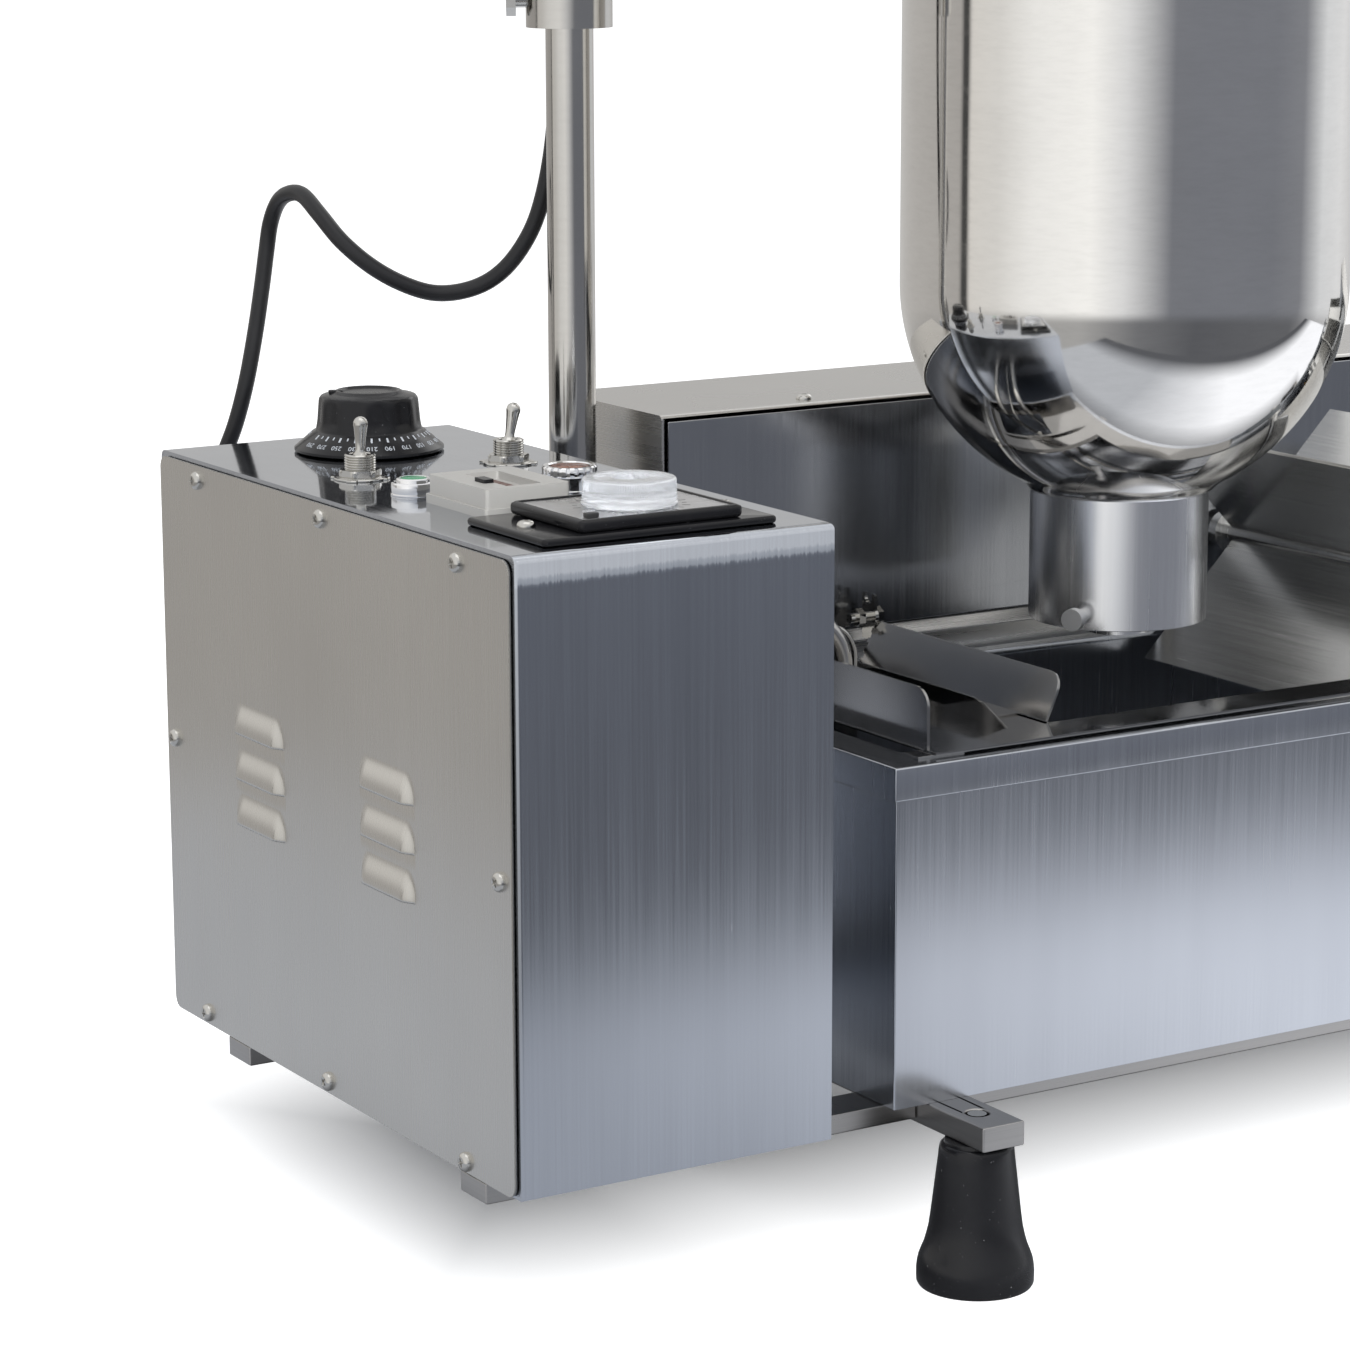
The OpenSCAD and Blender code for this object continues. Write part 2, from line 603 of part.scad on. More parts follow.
// ---- Drive housing ----
drive_l = tank_end - drive_x;
lid_skirt = 19;
base_low = 147;
floor_low = 134;
module drive_housing() {
  back = drive_y + drive_d;
  color(steel) on_deck() difference() {
    union() {
      block([drive_x + 1, drive_y + 1.6, floor_low], [tank_end - 1, back - 1, drive_top - sheet - 0.2]);
      translate([drive_x + 1, 0, 0]) rotate([90, 0, 90]) linear_extrude(drive_l - 2) polygon([
        [drive_y + 3, base_low], [drive_y - 1.6, base_low], [drive_y - 1.6, base_low + 1.2],
        [drive_y + 1.6, panel_low - 0.3], [drive_y + 3, panel_low - 0.3]]);
    }
    block([drive_x + 1 + sheet, drive_y + 2.8, floor_low + sheet],
          [tank_end - 1 - sheet, back - 1 - sheet, drive_top + 5]);
    block([drive_x + 1 + sheet, drive_y - 5, panel_low - 0.3],
          [tank_end - 1 - sheet, drive_y + 10, drive_top + 5]);
  }
}
module drive_lid() {
  back = drive_y + drive_d;
  color(steel) on_deck() difference() {
    intersection() {
      block([drive_x, drive_y + 0.6, drive_top - lid_skirt], [tank_end, back, drive_top]);
      rotate([90, 0, 90]) linear_extrude(2 * tank_end) translate([drive_y + 0.6, 0])
        round_rect([drive_d - 0.6, drive_top], 2);
    }
    block([drive_x + 0.9, drive_y - 5, drive_top - lid_skirt - 1],
          [tank_end - 0.9, back - 0.9, drive_top - sheet]);
    for (x = lid_fix) translate([x, drive_y + 11.5, drive_top - 5]) cylinder(h = 10, r = 2.1);
  }
}
// Dark front panel with folded edges
module drive_panel() {
  color(dark_steel) on_deck() difference() {
    block([drive_x + 3, drive_y, panel_low], [tank_end - 3, drive_y + 1.4, drive_top - sheet - 1.5]);
    for (x = concat(wheel_x, [ejector_x])) translate([x, 0, shaft_z])
      along_y(drive_y - 5, drive_y + 5, shaft_d / 2 + 0.6);
  }
}
lid_fix = [for (i = [0:3]) drive_x + 78 + i * (drive_l - 156) / 3];
module drive_screws() {
  color(bright) on_deck() for (x = lid_fix) translate([x, drive_y + 11.5, drive_top]) {
    pan_head(7, 2.2);
    translate([0, 0, -6]) cylinder(h = 6, r = 2);
  }
}
module housing_posts() {
  color(steel) on_deck() for (x = [drive_x + 90, tank_end - 130])
    block([x, rail_y[1] - 10, 0], [x + 30, rail_y[1] + 10, floor_low]);
}
module gear_motor() {
  color(dark_steel) on_deck() translate([wheel_x[1], 0, shaft_z]) difference() {
    union() {
      along_y(drive_y + 36, drive_y + 52, 28);
      along_y(drive_y + 52, drive_y + 84, 24);
      block([-16, drive_y + 40, -shaft_z + floor_low + sheet], [16, drive_y + 80, -10]);
    }
    along_y(drive_y + 30, drive_y + 46, shaft_d / 2 + running);
  }
}
// A belt round two equal pulleys
module belt(x0, x1, y) {
  r = pulley_r + gap;
  translate([0, y, shaft_z]) rotate([-90, 0, 0]) difference() {
    union() {
      for (x = [x0, x1]) translate([x, 0, 0]) cylinder(h = 6, r = r + 1.6);
      translate([x0, -r - 1.6, 0]) cube([x1 - x0, 2 * r + 3.2, 6]);
    }
    for (x = [x0, x1]) translate([x, 0, -1]) cylinder(h = 8, r = r);
    translate([x0, -r, -1]) cube([x1 - x0, 2 * r, 8]);
  }
}
module drive_belts() {
  color(black) on_deck() {
    belt(wheel_x[0], wheel_x[1], lane_y[0]);
    belt(wheel_x[1], wheel_x[2], lane_y[1]);
    belt(wheel_x[2], ejector_x, lane_y[0]);
  }
}
// Blocks on the front rim and inside the panel that carry the shafts
bearing_y = [16, 27];
module wheel_bearings() {
  color(dark_steel) on_deck() for (x = concat(wheel_x, [ejector_x])) translate([x, 0, 0]) difference() {
    union() {
      block([-9, bearing_y[0], tank_h], [9, bearing_y[1], shaft_z]);
      translate([0, 0, shaft_z]) along_y(bearing_y[0], bearing_y[1], 9);
      translate([0, 0, shaft_z]) along_y(drive_y + 1.4, drive_y + 8, 9);
    }
    translate([0, 0, shaft_z]) along_y(bearing_y[0] - 1, drive_y + 20, shaft_d / 2 + running);
  }
}
// Shaft with its pulleys
module wheel_shaft(lanes, rear) {
  along_y(bearing_y[0] - 3, rear, shaft_d / 2);
  for (i = lanes) along_y(lane_y[i] - 0.5, lane_y[i] + 6.5, pulley_r);
  for (y = [bearing_y[1] + 0.5, drive_y - 8]) along_y(y, y + 5, 9);
}
blade_y = [43, 178];
module blades(count, r) {
  for (i = [0:count - 1]) rotate([0, i * 360 / count, 0])
    block([0, blade_y[0], -0.8], [r, blade_y[1], 0.8]);
}
module wheel_at(x) { on_deck() translate([x, 0, shaft_z]) children(); }
module feed_wheel() {
  color(steel) wheel_at(wheel_x[0]) {
    wheel_shaft([0], drive_y + 30);
    rotate([0, 45, 0]) blades(4, paddle_r);
  }
}
// Comb of fingers that lifts a doughnut and lays it down on its other side
module turner_wheel() {
  color(steel) wheel_at(wheel_x[1]) {
    wheel_shaft([0, 1], drive_y + 44);
    for (side = [0, 180]) rotate([0, side + 20, 0]) {
      for (i = [0:8]) block([0, blade_y[0] + i * 16.6, -1.2], [paddle_r, blade_y[0] + i * 16.6 + 3, 1.2]);
      block([paddle_r - 6, blade_y[0], -1.2], [paddle_r, blade_y[1] - 2, 8]);
      block([26, blade_y[0], -1.2], [32, blade_y[1] - 2, 1.2]);
    }
  }
}
module push_wheel() {
  color(steel) wheel_at(wheel_x[2]) {
    wheel_shaft([0, 1], drive_y + 34);
    rotate([0, 45, 0]) blades(4, paddle_r);
  }
}
module ejector_wheel() {
  color(steel) wheel_at(ejector_x) {
    wheel_shaft([0], drive_y + 30);
    rotate([0, 30, 0]) blades(3, ejector_r);
  }
}

// ---- Head ----
plate_t = 6;
arm_tail = 36;
arm_l = arm_reach + 96;
gland_u = -3;
gland_v = 28;
crank_z = 544;
crank_u = arm_reach - 16;
hopper_top = arm_low - 14;
hanger_out = hopper_r + 12.5;
bolt_turn = 150;
module mast() {
  color(bright) on_deck() difference() {
    union() {
      translate([mast_x, mast_y, 0]) cylinder(h = arm_low + 20, r = mast_d / 2);
      rounded_plate([mast_x - 17, mast_y - 12, 0], [34, 26], 8, 3);
      translate([mast_x, mast_y, arm_low + plate_t + 0.3]) cylinder(h = 6, r = 15);
    }
    translate([mast_x, mast_y, 12]) cylinder(h = arm_low + 100, r = mast_d / 2 - 2);
  }
}
// Base plate of the arm with the hub that turns on the mast and the hangers of the hopper
module arm_base() {
  color(bright) on_arm() difference() {
    union() {
      rounded_plate([-arm_tail, -arm_w / 2, arm_low], [arm_l, arm_w], plate_t, 4);
      translate([0, 0, hub_low]) cylinder(h = arm_low - hub_low, d = hub_d);
      translate([arm_reach, 0, arm_low - 14]) cylinder(h = 14, r = 11);
      translate([arm_reach, 0, 0]) {
        block([-16, -hanger_out, arm_low - plate_t], [16, hanger_out, arm_low]);
        for (s = [-1, 1]) translate([-16, s * (hanger_out - 5) - 5, arm_low - 24]) cube([32, 10, 24]);
      }
    }
    translate([0, 0, hub_low - 1]) cylinder(h = 200, r = mast_d / 2 + running);
    translate([arm_reach, 0, arm_low - 20]) cylinder(h = 40, r = rod_d / 2 + running);
    translate([gland_u, gland_v, arm_low - 5]) cylinder(h = 20, r = 6.1);
    translate([arm_reach, 0, hopper_top - 3]) cylinder(h = 3.3, r = hopper_r + 8.3);
    rotate([0, 0, bolt_turn - arm_turn]) translate([0, 0, hub_low + 12]) along_x(5, 25, 4.1);
  }
}
module arm_cover() {
  color(steel) on_arm() difference() {
    intersection() {
      rounded_plate([-arm_tail, -arm_w / 2, arm_low + plate_t + 0.2], [arm_l, arm_w],
                    arm_h - plate_t - 0.2, 8);
      translate([-60, -arm_w / 2, arm_low - 20]) rotate([90, 0, 90]) linear_extrude(2 * arm_reach)
        round_rect([arm_w, arm_h + 20], 8);
    }
    rounded_plate([sheet - arm_tail, sheet - arm_w / 2, arm_low],
                  [arm_l - 2 * sheet, arm_w - 2 * sheet], arm_h - sheet, 7);
  }
}
module hub_bolt() {
  color(bright) on_deck() translate([mast_x, mast_y, hub_low + 12]) rotate([0, 0, bolt_turn]) {
    along_x(mast_d / 2 + 0.3, hub_d / 2 + 7, 4);
    translate([hub_d / 2 + 4, 0, 0]) rotate([0, 90, 0]) hex_head(13, 4);
  }
}
module head_motor() {
  color(dark_steel) on_arm() translate([0, 0, crank_z]) difference() {
    union() {
      along_x(60, 150, 26);
      translate([150, 0, 0]) block([0, -26, -28], [34, 26, 26]);
      block([70, -20, arm_low + plate_t - crank_z], [184, 20, -20]);
    }
    along_x(170, 190, 5 + running);
  }
}
module head_gland() {
  color(black) on_arm() translate([gland_u, gland_v, arm_low]) rotate([180, 0, 0]) difference() {
    union() {
      translate([0, 0, -10]) cylinder(h = 10, r = 6);
      gland(5, 13);
    }
    translate([0, 0, -11]) cylinder(h = 40, r = lead_r + 0.2);
  }
}
// Crank disc on the motor shaft; its pin runs in the plunger's slot
module crank_disc() {
  color(steel) on_arm() translate([0, 0, crank_z]) {
    along_x(172, crank_u - 5, 5);
    along_x(crank_u - 8, crank_u - 1, 22);
    translate([0, crank_r, 0]) along_x(crank_u - 2, arm_reach + 4, 4);
  }
}
// Slotted yoke, rod, piston and the disc that forms the hole
slot_h = 10.8;
orifice_r = 22.5;
module plunger() {
  color(bright) on_arm() translate([arm_reach, 0, 0]) {
    difference() {
      block([-5, -29, crank_z - 12], [5, 29, crank_z + 12]);
      block([-6, -23, crank_z - slot_h / 2], [6, 23, crank_z + slot_h / 2]);
    }
    translate([0, 0, nozzle_z + 30]) cylinder(h = crank_z - nozzle_z - 42, r = rod_d / 2);
    translate([0, 0, nozzle_z + 8]) cylinder(h = 26, r = orifice_r - running);
    translate([0, 0, nozzle_z + 34]) cylinder(h = 12, r1 = orifice_r - running, r2 = rod_d / 2);
    translate([0, 0, nozzle_z - 4]) cylinder(h = 12, r = 4);
    translate([0, 0, nozzle_z - 6]) cylinder(h = 3, r = 14);
  }
}
// Cylinder with a round bottom, a rolled flange on top and the nozzle tube below
module hopper_outline(r, tube, low) {
  difference() {
    union() {
      translate([0, bowl_z]) square([r, hopper_top - bowl_z]);
      intersection() {
        translate([0, bowl_z]) circle(r, $fn = 128);
        translate([0, bowl_z - r]) square([r, r]);
      }
      translate([0, low]) square([tube, bowl_z - low]);
    }
    translate([-2 * r, 0]) square([2 * r, 2 * hopper_top]);
  }
}
nozzle_fix = [209.6, 172];
module hopper() {
  color(bright) on_deck() translate([hopper_x, hopper_y, 0]) difference() {
    union() {
      rotate_extrude() difference() {
        hopper_outline(hopper_r, nozzle_r, nozzle_z);
        hopper_outline(hopper_r - sheet, nozzle_r - sheet, nozzle_z - 5);
      }
      translate([0, 0, hopper_top - 3]) difference() {
        cylinder(h = 3, r = hopper_r + 8);
        translate([0, 0, -1]) cylinder(h = 5, r = hopper_r - sheet);
      }
    }
    translate([0, 0, hopper_top - 1]) cylinder(h = 5, r = hopper_r - sheet);
    rotate([0, 0, nozzle_fix[0]]) translate([0, 0, nozzle_fix[1]]) along_x(nozzle_r - 5, nozzle_r + 5, 4);
  }
}
module mould_sleeve() {
  r = nozzle_r - sheet - 0.15;
  color(bright) on_deck() translate([hopper_x, hopper_y, nozzle_z + 1]) difference() {
    cylinder(h = 46, r = r);
    translate([0, 0, 12]) cylinder(h = 50, r = r - 3);
    translate([0, 0, -1]) cylinder(h = 20, r = orifice_r);
    rotate([0, 0, nozzle_fix[0]]) translate([0, 0, nozzle_fix[1] - nozzle_z - 1]) along_x(r - 8, r + 5, 3.05);
  }
}
module nozzle_bolt() {
  color(bright) on_deck() translate([hopper_x, hopper_y, nozzle_fix[1]]) rotate([0, 0, nozzle_fix[0]]) {
    along_x(nozzle_r - 8, nozzle_r + 8, 3);
    along_x(nozzle_r + 7, nozzle_r + 11, 4.6);
  }
}

// ---- Motor lead ----
// A flexible lead of eight sides swept along hand-chosen points, from the box's gland to the head's
lead_r = 3.5;
lead_points = [
  [40, 313, 176], [40, 322, 176], [41, 334.5, 179], [42.5, 343.5, 187.5], [44.5, 347.5, 200],
  [47, 346.5, 214], [50, 342.5, 228], [54, 338.5, 242], [59, 337.5, 259.5], [66, 342, 280],
  [73, 349, 298.5], [78, 354, 313.5], [80, 353.5, 325.5], [80.5, 346.5, 335], [81, 336.5, 339.5],
  [82, 325.5, 339.5], [82.5, 311, 332.5], [86, 297.5, 322], [95, 289, 312], [106.5, 283.5, 304.5],
  [119, 279, 300], [130.5, 273.5, 300.5], [141, 268, 305], [149, 262, 314], [156, 257, 328],
  [161, 255, 345], [165, 255, 365], [168, 256, 390], [171, 256, 420], [173, 256.4, 450],
  [173.3, 256.8, 475], [173.3, 256.8, 494.8]];
function lerp_at(p, i, t) =
  let (n = len(p), a = p[max(i - 1, 0)], b = p[i], c = p[min(i + 1, n - 1)], d = p[min(i + 2, n - 1)])
  0.5 * (2 * b + t * (c - a) + t * t * (2 * a - 5 * b + 4 * c - d) + t * t * t * (3 * b - a - 3 * c + d));
function unit(v) = v / norm(v);
function sweep_faces(rings, sides) = concat(
  [[for (s = [0:sides - 1]) s]],
  [[for (s = [sides - 1:-1:0]) (rings - 1) * sides + s]],
  [for (k = [0:rings - 2], s = [0:sides - 1])
    [k * sides + s, (k + 1) * sides + s, (k + 1) * sides + (s + 1) % sides, k * sides + (s + 1) % sides]]);
module sweep(path, r, sides) {
  n = len(path);
  side_ref = [0.35, 0.9, 0.1];
  rings = [for (k = [0:n - 1])
    let (t = unit(path[min(k + 1, n - 1)] - path[max(k - 1, 0)]),
         a = unit(cross(t, side_ref)), b = cross(t, a))
    for (s = [0:sides - 1]) path[k] + r * (cos(360 * s / sides) * a + sin(360 * s / sides) * b)];
  polyhedron(points = rings, faces = sweep_faces(n, sides));
}
module motor_lead() {
  path = concat([for (i = [0:len(lead_points) - 2], t = [0, 0.5]) lerp_at(lead_points, i, t)],
                [lead_points[len(lead_points) - 1]]);
  color(black) on_deck() sweep(path, lead_r, 8);
}

crossbar_left();
crossbar_right();
rail_front();
rail_rear();
rubber_feet();
foot_studs();
box_shell();
box_side_cover();
cover_screws();
thermostat_body();
thermostat_knob();
toggle_switches();
toggle_lever_left();
toggle_lever_right();
button_bezel();
button_cap();
lamp_bezel();
lamp_lens();
counter_case();
counter_reset();
timer_plate();
timer_frame();
timer_dial();
timer_screws();
cable_gland();
mains_gland();
contactor();
oil_tank();
guide_sheet();
guide_trough();
guide_bolt();
heating_element();
thermostat_bulb();
drain_valve();
drain_handle();
discharge_chute();
drive_housing();
drive_lid();
drive_panel();
drive_screws();
housing_posts();
gear_motor();
drive_belts();
wheel_bearings();
feed_wheel();
turner_wheel();
push_wheel();
ejector_wheel();
mast();
arm_base();
arm_cover();
hub_bolt();
head_motor();
head_gland();
crank_disc();
plunger();
hopper();
mould_sleeve();
nozzle_bolt();
motor_lead();
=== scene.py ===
"""Looks of an automatic doughnut machine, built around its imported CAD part."""

import math
import random

import bmesh
import bpy
from mathutils import Matrix, Vector


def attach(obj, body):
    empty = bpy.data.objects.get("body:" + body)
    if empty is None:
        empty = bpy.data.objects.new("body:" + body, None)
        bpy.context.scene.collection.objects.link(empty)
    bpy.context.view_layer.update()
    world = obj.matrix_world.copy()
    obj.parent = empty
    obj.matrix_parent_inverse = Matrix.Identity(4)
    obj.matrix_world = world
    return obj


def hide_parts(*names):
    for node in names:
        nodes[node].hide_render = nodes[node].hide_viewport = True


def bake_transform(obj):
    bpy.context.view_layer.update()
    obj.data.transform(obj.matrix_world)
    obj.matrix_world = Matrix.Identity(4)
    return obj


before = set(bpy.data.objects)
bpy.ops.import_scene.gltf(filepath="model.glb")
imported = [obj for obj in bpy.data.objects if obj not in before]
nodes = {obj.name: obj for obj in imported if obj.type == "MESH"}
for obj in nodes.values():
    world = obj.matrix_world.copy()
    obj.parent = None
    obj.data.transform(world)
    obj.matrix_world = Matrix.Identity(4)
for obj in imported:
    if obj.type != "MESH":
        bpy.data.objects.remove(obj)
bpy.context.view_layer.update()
scene = bpy.context.scene
MM = 0.001
# The part's source counts from the control box's front left corner; heights are from the deck.
ORIGIN = Vector((-521.9, -147.0, 70.0))


def at(x, y, z):
    """A point given in millimetres from the box's corner and the deck, in the row frame."""
    return (Vector((x, y, z)) + ORIGIN) * MM


# ---------------------------------------------------------------- camera
def camera():
    yaw, pitch, roll = (math.radians(a) for a in (31.473, 11.886, -0.169))
    ahead = Vector((math.sin(yaw) * math.cos(pitch), math.cos(yaw) * math.cos(pitch), -math.sin(pitch)))
    right = Vector((math.cos(yaw), -math.sin(yaw), 0))
    up = right.cross(ahead)
    tilted_right = right * math.cos(roll) + up * math.sin(roll)
    tilted_up = up * math.cos(roll) - right * math.sin(roll)
    data = bpy.data.cameras.new("camera")
    data.lens = 107.37
    data.sensor_width = 36
    data.clip_start = 0.05
    data.clip_end = 60
    obj = bpy.data.objects.new("camera", data)
    obj.matrix_world = Matrix((tilted_right, tilted_up, -ahead)).transposed().to_4x4()
    obj.location = (-1.20455, -1.37371, 0.56253)
    scene.collection.objects.link(obj)
    scene.camera = obj


camera()


# ---------------------------------------------------------------- mesh helpers
def make(name, data, mat=None, smooth=None):
    """A mesh object from vertices in metres; edges up to smooth degrees look round."""
    verts, faces = data
    mesh = bpy.data.meshes.new(name)
    mesh.from_pydata([tuple(v) for v in verts], [], faces)
    mesh.validate()
    bm = bmesh.new()
    bm.from_mesh(mesh)
    bmesh.ops.remove_doubles(bm, verts=bm.verts, dist=1e-6)
    bmesh.ops.recalc_face_normals(bm, faces=bm.faces)
    bm.to_mesh(mesh)
    bm.free()
    obj = bpy.data.objects.new(name, mesh)
    scene.collection.objects.link(obj)
    if mat:
        mesh.materials.append(mat)
    if smooth is not None:
        soften(obj, smooth)
    return obj


def piece(name, data, mat, body, hides=(), smooth=32):
    """A new piece that rides on a body, takes a slot's finish and stands for CAD nodes."""
    obj = make(name, data, mat, smooth)
    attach(obj, body)
    if hides:
        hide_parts(*hides)
    return obj


def soften(obj, angle):
    mesh = obj.data
    mesh.polygons.foreach_set("use_smooth", [True] * len(mesh.polygons))
    mesh.set_sharp_from_angle(angle=math.radians(angle))


def even_shading(obj):
    """Keeps flat faces flat where small rounds meet them."""
    obj.modifiers.new("normals", "WEIGHTED_NORMAL").keep_sharp = True


def stand(x, y, z, tilt=None):
    """Where a piece stands: its own origin at a point, +Z up unless tilted."""
    m = Matrix.Translation(at(x, y, z))
    return m @ tilt if tilt is not None else m


def turned(degrees, axis):
    return Matrix.Rotation(math.radians(degrees), 4, axis)


def spun(profile, sides, place, shape=None):
    """A profile of (radius, height) in millimetres turned about +Z; shape bends the radius by angle."""
    verts, faces, rings = [], [], []
    for r, z in profile:
        if r < 1e-6:
            rings.append([len(verts)])
            verts.append(place @ (Vector((0, 0, z)) * MM))
            continue
        rings.append(list(range(len(verts), len(verts) + sides)))
        for s in range(sides):
            a = 2 * math.pi * s / sides
            q = shape(a, r, z) if shape else r
            verts.append(place @ (Vector((q * math.cos(a), q * math.sin(a), z)) * MM))
    for a, b in zip(rings, rings[1:]):
        for s in range(sides):
            t = (s + 1) % sides
            if len(a) == 1 and len(b) > 1:
                faces.append((a[0], b[s], b[t]))
            elif len(b) == 1 and len(a) > 1:
                faces.append((a[s], a[t], b[0]))
            elif len(a) > 1:
                faces.append((a[s], a[t], b[t], b[s]))
    return verts, faces


def arc(cx, cz, r, a0, a1, count):
    """Points of (radius, height) on a circle from angle a0 to a1 in degrees."""
    angles = [math.radians(a0 + (a1 - a0) * k / count) for k in range(count + 1)]
    return [(cx + r * math.cos(a), cz + r * math.sin(a)) for a in angles]


def join(*parts):
    verts, faces = [], []
    for v, f in parts:
        k = len(verts)
        verts.extend(v)
        faces.extend(tuple(i + k for i in face) for face in f)
    return verts, faces


CORNER_STEPS = 6


def rect_outline(low, high, inset, corner):
    """Points round a rectangle with round corners, pulled in by inset."""
    r = max(corner - inset, 0.05)
    ends = [(high[0], high[1], 0), (low[0], high[1], 90), (low[0], low[1], 180), (high[0], low[1], 270)]
    out = []
    for x, y, turn in ends:
        cx = x - math.copysign(corner if corner > inset else inset + r, x - (low[0] + high[0]) / 2)
        cy = y - math.copysign(corner if corner > inset else inset + r, y - (low[1] + high[1]) / 2)
        for k in range(CORNER_STEPS + 1):
            a = math.radians(turn + 90 * k / CORNER_STEPS)
            out.append((cx + r * math.cos(a), cy + r * math.sin(a)))
    return out


def slab(low, high, profile, corner):
    """A rounded rectangle whose edge follows a profile of (inset, height); both ends are closed."""
    verts, faces = [], []
    for inset, z in profile:
        verts.extend(at(x, y, z) for x, y in rect_outline(low, high, inset, corner))
    n = len(verts) // len(profile)
    for k in range(len(profile) - 1):
        for s in range(n):
            t = (s + 1) % n
            faces.append((k * n + s, k * n + t, (k + 1) * n + t, (k + 1) * n + s))
    faces.append(tuple(range(n - 1, -1, -1)))
    faces.append(tuple(len(verts) - n + s for s in range(n)))
    return verts, faces


def bullnose(z0, z1, r):
    """An edge profile with both rims rounded, for slab()."""
    turns = [math.radians(18 * k) for k in range(6)]
    up = [(r - r * math.sin(a), z0 + r - r * math.cos(a)) for a in turns]
    return up + [(inset, z1 - (z - z0)) for inset, z in reversed(up)]


def tube(path, radius, sides):
    """Vertices and faces of a closed tube along points, with no twist."""
    verts, faces = [], []
    count = len(path)
    side = Vector((0.35, 0.9, 0.1))
    for k, p in enumerate(path):
        t = (path[min(k + 1, count - 1)] - path[max(k - 1, 0)]).normalized()
        side = (side - t * side.dot(t)).normalized()
        other = t.cross(side)
        for s in range(sides):
            a = 2 * math.pi * s / sides
            verts.append(p + radius * (math.cos(a) * side + math.sin(a) * other))
    for k in range(count - 1):
        for s in range(sides):
            t = (s + 1) % sides
            faces.append((k * sides + s, k * sides + t, (k + 1) * sides + t, (k + 1) * sides + s))
    faces.append(tuple(range(sides - 1, -1, -1)))
    faces.append(tuple((count - 1) * sides + s for s in range(sides)))
    return verts, faces


def smooth_path(points, steps):
    """Catmull-Rom points through the given points."""
    out = []
    n = len(points)
    for i in range(n - 1):
        a, b = points[max(i - 1, 0)], points[i]
        c, d = points[i + 1], points[min(i + 2, n - 1)]
        for k in range(steps):
            t = k / steps
            out.append(0.5 * (2 * b + t * (c - a) + t * t * (2 * a - 5 * b + 4 * c - d)
                              + t ** 3 * (3 * b - a - 3 * c + d)))
    out.append(points[-1])
    return out


def chamfered(low, high, cut, place=None):
    """A block with every edge cut at 45 degrees, in millimetres."""
    bm = bmesh.new()
    bmesh.ops.create_cube(bm, size=1)
    for v in bm.verts:
        v.co = Vector([low[i] if v.co[i] < 0 else high[i] for i in range(3)])
    bmesh.ops.bevel(bm, geom=bm.edges[:], offset=cut, segments=2, profile=0.5, affect="EDGES")
    bm.verts.index_update()
    verts = [Vector(at(*v.co)) if place is None else place @ (v.co * MM) for v in bm.verts]
    faces = [tuple(v.index for v in f.verts) for f in bm.faces]
    bm.free()
    return verts, faces


